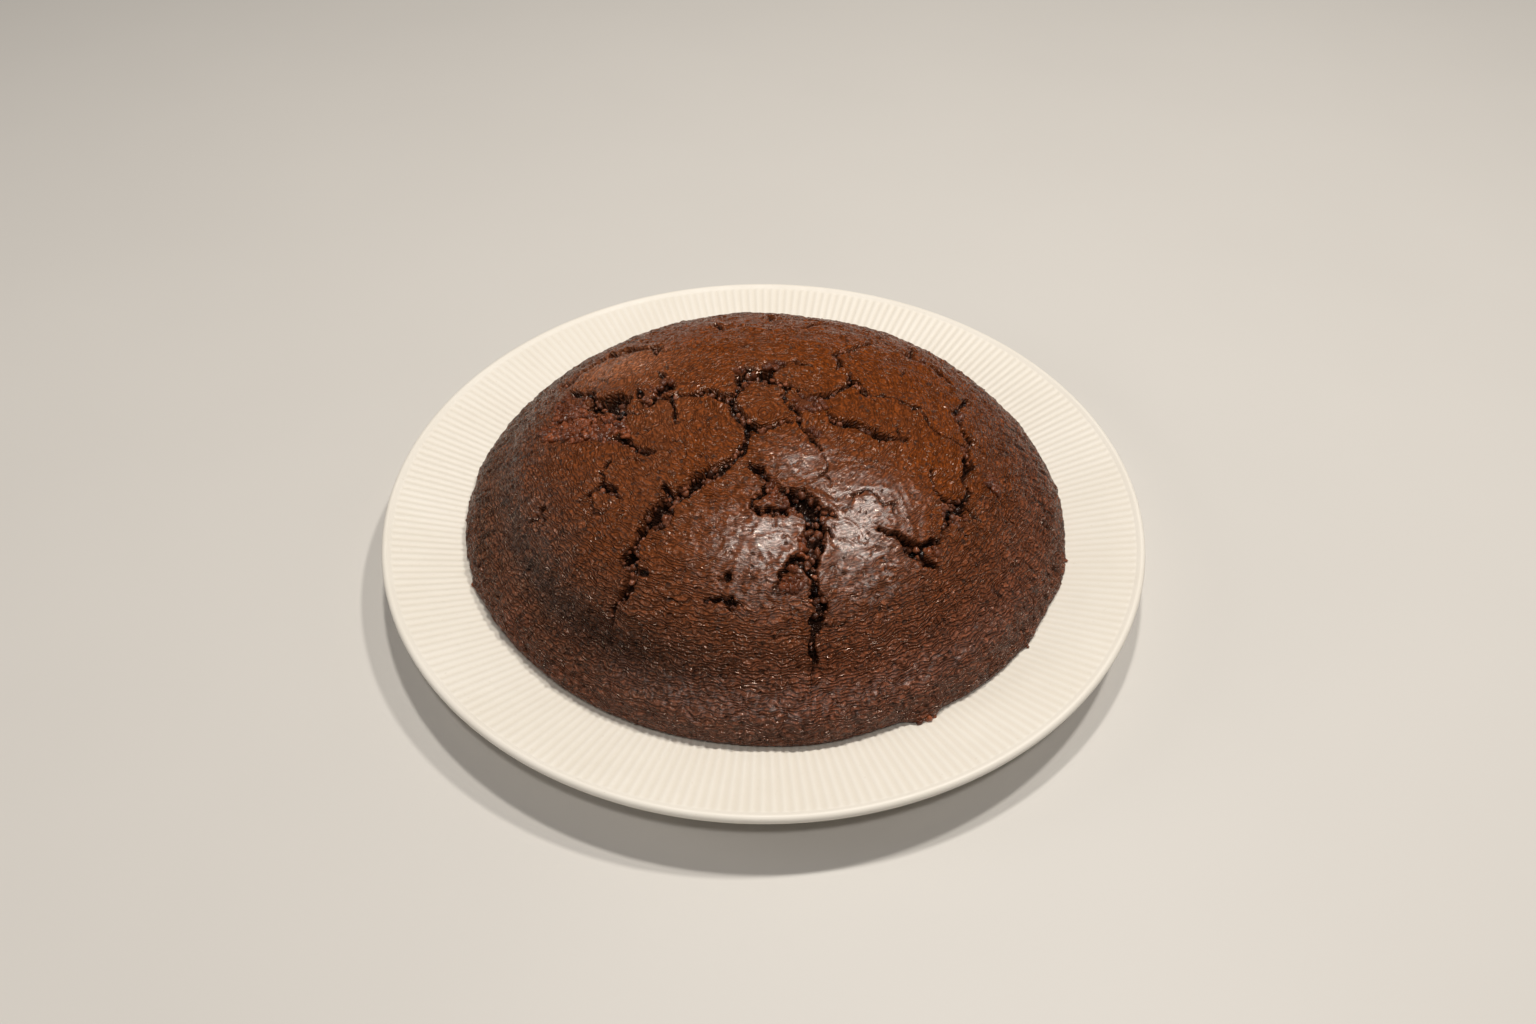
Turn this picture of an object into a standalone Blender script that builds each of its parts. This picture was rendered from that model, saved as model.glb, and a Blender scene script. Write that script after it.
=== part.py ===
"""Lava cake: one large cracked chocolate cake, baked in a round tin and turned up on a ribbed dinner plate.

Two solids, each in its own object: "plate", a turned dish with 252 fine radial ribs on its flange,
and "cake", a low dome whose crust has split into plates, with the cracks as relief in the solid.
Lengths at the top are in millimetres and are turned into metres where a mesh is made.
The origin is the middle of the plate's foot, on the table; +Y points away from the shown front.
"""

import math

import bmesh
import bpy
import numpy as np

MM = 0.001

# ---- plate ----------------------------------------------------------------------------------------
PLATE_RADIUS = 130.0
PLATE_HEIGHT = 20.0
WELL_Z = 6.5              # top of the flat middle
FLANGE_SLOPE = 0.275      # rise per length of the straight flange
FLANGE_BLEND = 15.0       # radial length over which the well turns up into the flange
THICKNESS = 3.7
LIP_RADIUS = 1.5
FOOT_OUTER, FOOT_INNER = 78.6, 74.2
RECESS_Z = 2.0            # hollow under the middle, inside the foot ring
FOOT_CHAMFER = 0.4

RIB_COUNT = 252
RIB_RELIEF = 0.17         # crest above, and groove below, the flange's mean line
RIB_START, RIB_END = 92.0, 126.9
RIB_FADE = 1.4            # radial length in which a rib rises out of the smooth flange
PLATE_STEPS = 84          # turned steps; each is cut into six where the ribs are
COLUMNS_PER_STEP = 2 * RIB_COUNT // PLATE_STEPS

# ---- cake -----------------------------------------------------------------------------------------
CAKE_RADIUS = 102.8
CAKE_CENTRE = (0.4, 0.9)
CAKE_EDGE_Z = 13.8        # where the dome's side stands upright, just above the plate
CAKE_RISE = 43.5          # from there to the top
DOME_POWER, DOME_ROUNDING = 3.1, 1.22
OVAL = 1.1                # half the difference between its width and its depth
LOBE = 0.3                # a faint third lobe of the outline
GAP = 0.3                 # between cake and plate

CAKE_STEPS, CAKE_RINGS = 560, 140
CAKE_TRIANGLES = 8500

CRACK_SLOPE = 1.25        # depth of a crack for each millimetre of its width
CRACK_DEEPEST = 7.5
CRACK_FLOOR = 0.30        # share of its half width that is the crack's flat floor
LIP_HEIGHT, LIP_REACH = 0.4, 3.0     # the crust curls up a little beside a crack

# The cracks, each along points of x, y and full width in millimetres, seen from above.
CRACKS = {
    "front_left": [(-6, -12, 1.8), (-8, -20, 3.4), (-15, -27.5, 5.2), (-24, -34.5, 4.8),
                   (-30, -38, 5.6), (-33, -44, 7.4), (-37.8, -49.5, 3.0), (-40.8, -55.5, 4.6),
                   (-39, -59.5, 3.0), (-41, -64.5, 3.6), (-45.3, -68.5, 1.8), (-49, -72, 1.0)],
    "front_left_knob": [(-28, -36, 3.6), (-31, -31.3, 1.8)],
    "island_front": [(-10.8, 5, 3.2), (-10, 1.5, 3.2), (-6, -4, 4.4), (-0.5, -8.5, 4.4),
                     (4.5, -4.8, 3.0), (9, -4.5, 1.6)],
    "island_back": [(-10.3, 7, 3.6), (-7.5, 15, 3.8), (-3.5, 18, 3.4), (0, 19.5, 5.8), (6, 15.5, 2.4),
                    (6.5, 9, 2.4)],
    "back_spur": [(-7.8, 19, 4.4), (-3.8, 25, 1.8)],
    "back_crumb": [(2, 22.5, 2.4), (7, 27, 1.8)],
    "left_arm": [(-11, 7.5, 5.0), (-16, 9, 4.4), (-21.5, 10.6, 2.8), (-30.5, 8.3, 3.4),
                 (-36.5, 9.2, 3.8), (-39, 8.5, 4.0), (-42, 13, 2.8)],
    "left_arm_down": [(-30.5, 7, 2.6), (-29.2, -0.5, 2.0), (-28.5, -4.5, 1.2)],
    "left_arm_up": [(-37, 10.5, 3.2), (-32.2, 15.3, 3.8), (-34.2, 20.2, 2.2), (-36.5, 24.5, 1.6)],
    "cavity": [(-60.5, 10.8, 2.6), (-54, 9.8, 5.6), (-48.5, 9, 6.4), (-46.5, 7, 4.0)],
    "cavity_front": [(-48.5, 3.6, 4.0), (-46.6, -1.2, 1.8)],
    "cavity_back": [(-67, 26, 2.2), (-65.5, 22, 4.2), (-59.5, 18.8, 3.6), (-57, 12.5, 3.0)],
    "back_left_arc": [(-72, 34.5, 1.8), (-68.5, 32.5, 3.6), (-63, 39.3, 3.0), (-55, 44.5, 3.0),
                      (-48.7, 44.2, 4.2), (-39.8, 42.8, 2.8), (-38, 38, 3.0)],
    "left_short": [(-49.5, -7.5, 2.0), (-44.3, -11, 3.4), (-40, -15.5, 3.6), (-35.3, -17.8, 2.2)],
    "left_low": [(-49, -18.8, 1.8), (-52.3, -22.8, 2.4), (-51.5, -27, 2.2), (-47.3, -31.3, 3.2),
                 (-44, -34.5, 1.4)],
    "far_left": [(-77, -34, 1.4), (-71, -29.5, 2.4)],
    "front_top": [(-4.8, -24.6, 2.2), (0.3, -29.8, 3.4), (-0.6, -36.4, 3.2), (-3.4, -42, 2.8),
                  (3, -43.5, 2.8), (7, -44.3, 2.6)],
    "front_void": [(4, -35.5, 2.6), (10.5, -38.5, 7.4), (15.8, -44.8, 7.2), (16.5, -48, 5.0)],
    "front_void_tip": [(16.5, -43, 4.0), (22.4, -44.4, 1.6)],
    "front_long": [(15.6, -48, 5.6), (14.5, -56, 5.6), (14.3, -62.5, 3.8), (15.8, -69.3, 4.4),
                   (15.5, -74.5, 3.4), (14.5, -80.5, 2.4), (15, -87, 1.6), (14.5, -91, 1.0)],
    "front_branch": [(14, -60.5, 2.8), (7.5, -61, 2.6), (4, -66, 1.6)],
    "right_front": [(35, -47.2, 1.8), (41, -48.5, 3.4), (46.3, -52.4, 4.4), (52.8, -55.6, 2.0)],
    "right_front_up": [(47, -51.4, 3.4), (53, -47, 2.4), (57.2, -39.5, 3.4), (58.8, -36.2, 5.2),
                       (63.2, -29.8, 3.4), (65, -22.5, 2.0), (65.7, -14.3, 4.4), (66.2, -7, 2.6),
                       (67.3, -1.2, 3.6), (65, 6.5, 2.0), (66, 14.5, 2.2), (69.2, 20.5, 3.0)],
    "right_inner": [(60, -32.3, 3.2), (54.6, -31.2, 2.8), (53, -22, 1.8)],
    "right_middle": [(21.2, 0.8, 2.2), (23.5, -4.8, 3.6), (33, -7.3, 3.6), (38, -10.8, 4.4),
                     (46, -9.8, 2.4)],
    "middle_right": [(13.5, 8.6, 2.2), (20.5, 9.8, 2.6), (26, 13.8, 2.4), (30, 19.3, 3.8),
                     (28.6, 22.6, 2.0)],
    "middle_right_low": [(30.7, 18, 3.4), (34.3, 11.2, 2.4), (44, 11.2, 1.4), (50, 7.6, 2.6),
                         (54, 2, 1.6), (59, -4, 1.4), (65, -6.6, 1.8)],
    "island_stem": [(8, 6, 2.2), (11.2, -2, 2.2), (14, -11, 1.6), (18, -17.5, 1.8)],
    "back_right_arm": [(39, 47.6, 1.4), (31.5, 39, 2.2), (24.5, 34, 2.8), (26, 27, 3.0)],
    "back_right_small": [(10, 28.4, 2.0), (16, 26.2, 1.6)],
    "back_right_arc": [(41, 46, 1.4), (50.5, 42.3, 2.8), (57, 37.5, 2.4), (62.5, 32.5, 2.8),
                       (65, 29.3, 2.2)],
    "back_right_up": [(51.5, 43, 2.4), (53.5, 53, 1.8)],
    "back_short": [(-18.7, 59.5, 2.2), (-15, 51.5, 1.6)],
    "back_row": [(-10.5, 54, 1.6), (-4, 53.5, 2.4), (7, 53, 1.6), (14.5, 54.5, 1.8), (19, 60.5, 2.4)],
    "back_far": [(2.6, 70, 2.6), (1.8, 60.5, 1.6)],
    "front_left_small": [(-17.5, -69.5, 1.4), (-8.5, -72, 1.6)],
}

# Broad forms of the crust: x, y, reach along x, reach along y, height. A hollow has a negative height.
SWELLS = [
    (-60, 2, 13, 8, -2.0),      # the crust is gone here and the crumb shows
    (-78, -18, 8, 26, 0.8),     # shoulder of the left flank
    (0, -60, 30, 16, 0.9),
    (33, -36, 16, 11, 0.9),
    (-22, -10, 13, 11, 0.6),
    (45, 22, 15, 13, 0.7),
    (0, 4, 7, 6, 0.6),
    (-4.5, -31, 3.2, 3.4, 0.8),
    (-50, 32, 13, 9, 0.8),
    (5, 45, 24, 12, 0.5),
    (30, -2.4, 6, 1.5, 1.0),
    (46, -35, 9, 9, 0.6),
]

# Furrows and swollen rings round the side, each strongest in one bearing and fading from it:
# bearing and spread in degrees, radius, half width, height. A furrow has a negative height.
SIDE_RINGS = [(212, 38, 90.5, 5.0, -1.9), (212, 38, 99.5, 3.5, 0.9),
              (290, 56, 89.5, 5.5, -1.0), (290, 56, 98.0, 3.2, 1.3)]

# Where the outline stands in or out of the oval: bearing in degrees, half width in degrees, distance.
OUTLINE_DENTS = [(224, 26, -1.7), (262, 15, -0.9), (292, 9, -1.2), (318, 14, 0.6), (70, 12, -1.0),
                 (20, 10, -0.5)]

# Crumb pressed out at the foot: bearing in degrees from +X, half width in degrees, reach in millimetres.
FOOT_TABS = [(-62, 3.0, 2.2), (-36, 2.2, 0.7), (-18, 6.0, 1.1), (-158, 2.6, 0.7)]
FOOT_TAB_HEIGHT = 3.2


def clear_scene():
    for item in list(bpy.data.objects):
        bpy.data.objects.remove(item, do_unlink=True)


def principled(name, colour, roughness, coat=0.0):
    material = bpy.data.materials.new(name)
    material.use_nodes = True
    shader = material.node_tree.nodes["Principled BSDF"]
    shader.inputs["Base Color"].default_value = (*colour, 1.0)
    shader.inputs["Roughness"].default_value = roughness
    shader.inputs["Metallic"].default_value = 0.0
    shader.inputs["Coat Weight"].default_value = coat
    material.diffuse_color = (*colour, 1.0)
    return material


def link(name, mesh, collection, material):
    piece = bpy.data.objects.new(name, mesh)
    mesh.materials.clear()
    mesh.materials.append(material)
    collection.objects.link(piece)
    return piece


def plate_top(radius):
    """Height of the plate's upper face: flat well, a parabola that turns up, then the straight flange."""
    corner = PLATE_RADIUS - (PLATE_HEIGHT - WELL_Z) / FLANGE_SLOPE
    start = corner - FLANGE_BLEND / 2
    turn = np.clip(radius - start, 0, FLANGE_BLEND)
    straight = np.clip(radius - start - FLANGE_BLEND, 0, None)
    return WELL_Z + FLANGE_SLOPE * (turn ** 2 / (2 * FLANGE_BLEND) + straight)


def turned(name, profile, steps, collection):
    """Turn a profile of (radius, height), axis first and down its outer side, into a closed mesh."""
    mesh = bpy.data.meshes.new(name + "_profile")
    points = [(radius * MM, 0.0, height * MM) for radius, height in profile]
    mesh.from_pydata(points, [(i, i + 1) for i in range(len(points) - 1)], [])
    guide = bpy.data.objects.new(name + "_profile", mesh)
    collection.objects.link(guide)
    screw = guide.modifiers.new("turn", "SCREW")
    screw.angle = math.tau
    screw.steps = screw.render_steps = steps
    screw.use_merge_vertices = True
    screw.merge_threshold = 0.00001
    screw.use_smooth_shade = False
    return applied(guide, name)


def applied(guide, name):
    """The mesh that an object's modifiers give, with the object itself removed."""
    depsgraph = bpy.context.evaluated_depsgraph_get()
    mesh = bpy.data.meshes.new_from_object(guide.evaluated_get(depsgraph), depsgraph=depsgraph)
    mesh.name = name
    bpy.data.objects.remove(guide, do_unlink=True)
    return mesh


def get_points(mesh):
    points = np.empty(len(mesh.vertices) * 3, dtype=np.float32)
    mesh.vertices.foreach_get("co", points)
    return points.reshape(-1, 3).astype(float) / MM


def set_points(mesh, points):
    mesh.vertices.foreach_set("co", (points * MM).astype(np.float32).ravel())
    mesh.update()


# ---- the plate ------------------------------------------------------------------------------------
def plate_profile():
    """Down from the middle of the well, round the lip and back along the underside to the axis."""
    corner = PLATE_RADIUS - (PLATE_HEIGHT - WELL_Z) / FLANGE_SLOPE
    start = corner - FLANGE_BLEND / 2
    top = [0.0] + [start + FLANGE_BLEND * share for share in (0.0, 0.35, 0.7, 1.0)]
    top += [RIB_START, RIB_START + RIB_FADE, RIB_END - RIB_FADE, RIB_END]
    profile = [(radius, float(plate_top(radius))) for radius in top]

    lip = (PLATE_RADIUS - LIP_RADIUS, PLATE_HEIGHT - LIP_RADIUS)
    for degrees in (100, 50, 5, -40, -80):
        angle = math.radians(degrees)
        profile.append((lip[0] + LIP_RADIUS * math.cos(angle), lip[1] + LIP_RADIUS * math.sin(angle)))

    def underside(radius):
        return float(plate_top(radius)) - THICKNESS

    profile += [(radius, underside(radius)) for radius in (PLATE_RADIUS - 5.0, RIB_START)]
    profile += [
        (FOOT_OUTER + 3.4, underside(FOOT_OUTER + 3.4) - 0.4),
        (FOOT_OUTER + 1.0, 1.6),
        (FOOT_OUTER + FOOT_CHAMFER, FOOT_CHAMFER),
        (FOOT_OUTER, 0.0),
        (FOOT_INNER, 0.0),
        (FOOT_INNER - FOOT_CHAMFER, FOOT_CHAMFER),
        (FOOT_INNER - 2.2, RECESS_Z),
        (0.0, RECESS_Z),
    ]
    return profile


def cut_ribs(mesh):
    """Split the flange's rings into two columns a rib and lift every other column."""
    shape = bmesh.new()
    shape.from_mesh(mesh)
    ring_radii = (RIB_START + RIB_FADE, RIB_END - RIB_FADE)

    def ring_of(point):
        radius = math.hypot(point.x, point.y) / MM
        for ring in ring_radii:
            on_top = abs(point.z / MM - float(plate_top(ring))) < 0.1
            if abs(radius - ring) < 0.01 and on_top:
                return ring
        return None

    edges = [edge for edge in shape.edges
             if ring_of(edge.verts[0].co) and ring_of(edge.verts[0].co) == ring_of(edge.verts[1].co)]
    # ring edges, and edges cut out of them, all join two points of one ring
    bmesh.ops.subdivide_edges(shape, edges=edges, cuts=COLUMNS_PER_STEP - 1, use_grid_fill=True)

    columns = PLATE_STEPS * COLUMNS_PER_STEP
    for vertex in shape.verts:
        radius = math.hypot(vertex.co.x, vertex.co.y) / MM
        for ring in ring_radii:
            near = abs(radius - ring) < 0.15 and abs(vertex.co.z / MM - float(plate_top(ring))) < 0.1
            if not near:
                continue
            column = round(math.atan2(vertex.co.y, vertex.co.x) / math.tau * columns)
            angle = column / columns * math.tau
            height = float(plate_top(ring)) + RIB_RELIEF * (1 if column % 2 == 0 else -1)
            vertex.co = (ring * math.cos(angle) * MM, ring * math.sin(angle) * MM, height * MM)
    bmesh.ops.triangulate(shape, faces=shape.faces[:])
    shape.to_mesh(mesh)
    shape.free()


def make_plate(collection):
    mesh = turned("plate", plate_profile(), PLATE_STEPS, collection)
    cut_ribs(mesh)
    glaze = principled("cream_glaze", (0.80, 0.74, 0.63), 0.35, coat=0.3)
    plate = link("plate", mesh, collection, glaze)
    mesh.set_sharp_from_angle(angle=math.radians(30))
    return plate


# ---- the cake -------------------------------------------------------------------------------------
def dome_height(radius):
    """A rounded dome: flat-topped in the middle and upright at its edge."""
    share = np.clip(radius / CAKE_RADIUS, 0.0, 1.0) ** DOME_POWER
    return CAKE_EDGE_Z + CAKE_RISE * (1.0 - share) ** (1.0 / DOME_ROUNDING)


def under_cake(radius):
    return plate_top(radius) + RIB_RELIEF + GAP


def cake_profile():
    """Even steps along the dome from the top to the foot, then in along the plate to the axis."""
    fine = CAKE_RADIUS * np.sin(np.linspace(0, math.pi / 2, 4000))
    heights = dome_height(fine)
    run = np.concatenate([[0.0], np.cumsum(np.hypot(np.diff(fine), np.diff(heights)))])
    stops = np.linspace(0.0, run[-1], CAKE_RINGS)
    radii = np.interp(stops, run, fine)
    profile = list(zip(radii.tolist(), np.interp(stops, run, heights).tolist()))
    profile[0] = (0.0, profile[0][1])
    foot = CAKE_RADIUS - 0.5
    profile.append((foot, float(under_cake(foot)) + 0.1))
    for radius in (100.0, 94.0, 88.0, 84.0, 80.0, 76.0, 72.0, 36.0, 0.0):
        profile.append((radius, float(under_cake(radius))))
    return profile


def crack_depth(x, y):
    """Depth below the crust and height of the curled lip at points seen from above.

    A crack's section is a trough: a flat floor over CRACK_FLOOR of its half width, then walls that rise
    evenly to the crust. Beside it the crust curls up by LIP_HEIGHT, dying away over LIP_REACH.
    """
    depth = np.zeros_like(x)
    outside = np.full_like(x, 1e3)
    for route in CRACKS.values():
        for (x0, y0, w0), (x1, y1, w1) in zip(route[:-1], route[1:]):
            dx, dy = x1 - x0, y1 - y0
            along = np.clip(((x - x0) * dx + (y - y0) * dy) / (dx * dx + dy * dy), 0.0, 1.0)
            distance = np.hypot(x - x0 - along * dx, y - y0 - along * dy)
            width = w0 + along * (w1 - w0)
            half = width / 2
            deepest = np.minimum(CRACK_SLOPE * width, CRACK_DEEPEST)
            wall = np.clip((half - distance) / (half * (1.0 - CRACK_FLOOR)), 0.0, 1.0)
            depth = np.maximum(depth, deepest * wall)
            outside = np.minimum(outside, np.clip(distance - half, 0.0, None))
    lip = np.where(depth > 0.0, 0.0, LIP_HEIGHT * np.exp(-((outside / LIP_REACH) ** 2)))
    return depth, lip


def turn_from(angle, bearing):
    """Degrees between an angle and a bearing, from -180 to 180."""
    return (np.degrees(angle) - bearing + 180.0) % 360.0 - 180.0


def swell_height(x, y):
    """The round swells, and the furrows and rims of the side, which fade with the turn from their bearing."""
    height = sum(rise * np.exp(-(((x - cx) / rx) ** 2) - ((y - cy) / ry) ** 2)
                 for cx, cy, rx, ry, rise in SWELLS)
    dx, dy = x - CAKE_CENTRE[0], y - CAKE_CENTRE[1]
    radius = np.hypot(dx, dy)
    angle = np.arctan2(dy, dx)
    for bearing, spread, ring, half_width, rise in SIDE_RINGS:
        fade = np.exp(-((turn_from(angle, bearing) / spread) ** 2))
        height = height + rise * fade * np.exp(-(((radius - ring) / half_width) ** 2))
    return height


def outline_share(angle):
    """Share by which the cake is wider or narrower in a bearing: an oval, a third lobe and the dents."""
    out = OVAL * np.cos(2 * angle) + LOBE * np.sin(3 * angle)
    for bearing, half_width, distance in OUTLINE_DENTS:
        out = out + distance * np.exp(-((turn_from(angle, bearing) / half_width) ** 2))
    return 1.0 + out / CAKE_RADIUS


def foot_reach(angle, above):
    """How far the foot stands out in a bearing, less with height above the plate."""
    reach = np.zeros_like(angle)
    for bearing, half_width, length in FOOT_TABS:
        reach += length * np.exp(-((turn_from(angle, bearing) / half_width) ** 4))
    return reach * np.exp(-((above / FOOT_TAB_HEIGHT) ** 2))


def shape_cake(mesh):
    """Give the turned dome its oval outline, swells, cracks and foot."""
    points = get_points(mesh)
    radius = np.hypot(points[:, 0], points[:, 1])
    angle = np.arctan2(points[:, 1], points[:, 0])
    crust = points[:, 2] > under_cake(radius) + 0.05

    above = np.clip(points[:, 2] - CAKE_EDGE_Z, 0.0, None)
    reach = np.where(radius > 0.9 * CAKE_RADIUS, foot_reach(angle, above), 0.0)
    spread = radius * outline_share(angle) + reach
    x = spread * np.cos(angle) + CAKE_CENTRE[0]
    y = spread * np.sin(angle) + CAKE_CENTRE[1]

    step = 0.5
    slope = (dome_height(radius + step) - dome_height(radius - step)) / (2 * step)
    slope = np.where(radius < CAKE_RADIUS - 2 * step, slope, -3.0)
    depth, lip = crack_depth(x, y)
    push = swell_height(x, y) + lip - depth
    push *= np.clip((points[:, 2] - CAKE_EDGE_Z) / 4.0, 0.0, 1.0) * crust
    length = np.hypot(slope, 1.0)
    z = points[:, 2] + push / length
    x += push * -slope / length * np.cos(angle)
    y += push * -slope / length * np.sin(angle)
    floor = under_cake(np.hypot(x, y))
    z = np.where(crust, np.maximum(z, floor + 0.1), floor)
    set_points(mesh, np.stack([x, y, z], axis=1))


def settle_underside(mesh):
    """Lay the thinned underside back exactly on the plate's form, GAP above it."""
    points = get_points(mesh)
    radius = np.hypot(points[:, 0], points[:, 1])
    floor = under_cake(radius)
    under = points[:, 2] < floor + 0.4
    points[:, 2] = np.where(under, floor, points[:, 2])
    set_points(mesh, points)


def make_cake(collection):
    mesh = turned("cake", cake_profile(), CAKE_STEPS, collection)
    shape_cake(mesh)
    dense = bpy.data.objects.new("cake_dense", mesh)
    collection.objects.link(dense)
    mesh.calc_loop_triangles()
    thin = dense.modifiers.new("thin", "DECIMATE")
    thin.ratio = CAKE_TRIANGLES / len(mesh.loop_triangles)
    thinned = applied(dense, "cake")
    bpy.data.meshes.remove(mesh)
    settle_underside(thinned)
    crust = principled("cake_crust", (0.085, 0.030, 0.014), 0.5)
    cake = link("cake", thinned, collection, crust)
    thinned.set_sharp_from_angle(angle=math.radians(50))
    return cake


def main():
    clear_scene()
    collection = bpy.data.collections.new("lava_cake")
    bpy.context.scene.collection.children.link(collection)
    make_plate(collection)
    make_cake(collection)


main()
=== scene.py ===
"""The looks of a cracked chocolate lava cake on a ribbed cream plate, laid out as an add-on.

Lengths in the tables are millimetres, seen from above with +Y away from the camera; meshes are in metres.
"""
import math

import bpy
import numpy as np
from bpy.props import FloatProperty, FloatVectorProperty, IntProperty, PointerProperty
from mathutils import Matrix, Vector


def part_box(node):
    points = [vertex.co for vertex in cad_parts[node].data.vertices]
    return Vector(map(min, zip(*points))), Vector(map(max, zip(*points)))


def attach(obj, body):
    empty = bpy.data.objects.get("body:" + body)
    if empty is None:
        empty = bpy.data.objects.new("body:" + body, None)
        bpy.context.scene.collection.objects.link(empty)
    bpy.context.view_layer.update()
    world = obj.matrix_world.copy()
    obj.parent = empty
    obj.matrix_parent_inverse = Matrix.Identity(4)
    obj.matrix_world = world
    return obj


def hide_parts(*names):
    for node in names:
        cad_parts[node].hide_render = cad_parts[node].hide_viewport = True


bl_info = {
    "name": "Lava Cake on a Ribbed Plate",
    "version": (1, 0, 0),
    "blender": (4, 5, 0),
    "location": "View3D > Sidebar > Lava Cake",
    "description": "Builds the cracked crust, the crumb in its cracks, the ribbed plate and a pale stage",
    "category": "Add Mesh",
}

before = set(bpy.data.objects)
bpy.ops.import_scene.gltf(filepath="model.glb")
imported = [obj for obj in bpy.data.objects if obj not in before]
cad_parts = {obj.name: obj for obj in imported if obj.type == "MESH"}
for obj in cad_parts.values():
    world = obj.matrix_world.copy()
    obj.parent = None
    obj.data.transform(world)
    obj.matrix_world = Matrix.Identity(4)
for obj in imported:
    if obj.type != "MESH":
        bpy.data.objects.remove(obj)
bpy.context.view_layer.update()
MM = 0.001
PLATE_RIM, _, PLATE_TOP = np.array(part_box("plate")[1]) / MM

# ---- the plate's section ----
WELL_Z = 6.5
FLANGE_SLOPE = 0.275
FLANGE_BLEND = 15.0
PLATE_THICKNESS = 3.7
FOOT_OUTER, FOOT_INNER = 78.6, 74.2
RECESS_Z = 2.0
RIB_START, RIB_END, RIB_FADE = 92.0, 127.2, 1.2
COLUMNS_PER_RIB = 8
# The foot ring's two flanks: distance outwards from its outer or inner edge, height, bare clay or not.
FOOT_OUTSIDE = [(1.8, 2.3, 0), (0.9, 1.3, 0), (0.5, 0.6, 1), (0.15, 0.12, 1), (-0.3, 0.0, 1)]
FOOT_INSIDE = [(0.3, 0.0, 1), (-0.2, 0.15, 1), (-0.6, 0.7, 0), (-1.3, 1.6, 0), (-2.6, RECESS_Z, 0)]

# ---- the cake's form ----
CAKE_CENTRE = (0.4, 0.9)
CAKE_EDGE_Z = 13.8
DOME_POWER, DOME_ROUNDING = 3.1, 1.22
OVAL, LOBE = 1.1, 0.3
CAKE_CLEARANCE = 0.3
FOOT_TUCK = 0.9           # how far the skin draws in below its edge
FOOT_CALM = 4.0           # arc length above the plate over which the relief dies away
SIDE_START, SIDE_BLEND = 68.0, 24.0     # arc length from the top where the side begins, and its fade

CRACK_SLOPE, CRACK_DEEPEST = 1.35, 8.0
HALF_OPENING = 0.56       # a crack's half width at its edge, as a share of its traced width
WALL_RUN = 0.55           # how far in from its edge a crack's wall has fallen to the floor
LIP_REACH = 3.0

# Noises that are added up, each with strength, size and seed.
WANDER_X = [(0.9, 5.0, 11), (0.35, 1.9, 12)]            # how cracks stray from their lines
WANDER_Y = [(0.9, 5.0, 13), (0.35, 1.9, 14)]
RAGGED_CHIPS = [(1.1, 2.4, 51), (0.7, 1.2, 54)]         # bites out of the cracks' edges
FLOOR_LUMPS = [(2.0, 3.3, 21), (1.1, 1.7, 24), (0.4, 0.9, 28)]
SWELL_NOISE = [(0.40, 26.0, 31), (0.30, 11.0, 32), (0.12, 5.0, 63)]
STREAK_NOISE = [(1.0, 1.9, 38), (0.5, 0.95, 39)]        # down the flanks

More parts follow.
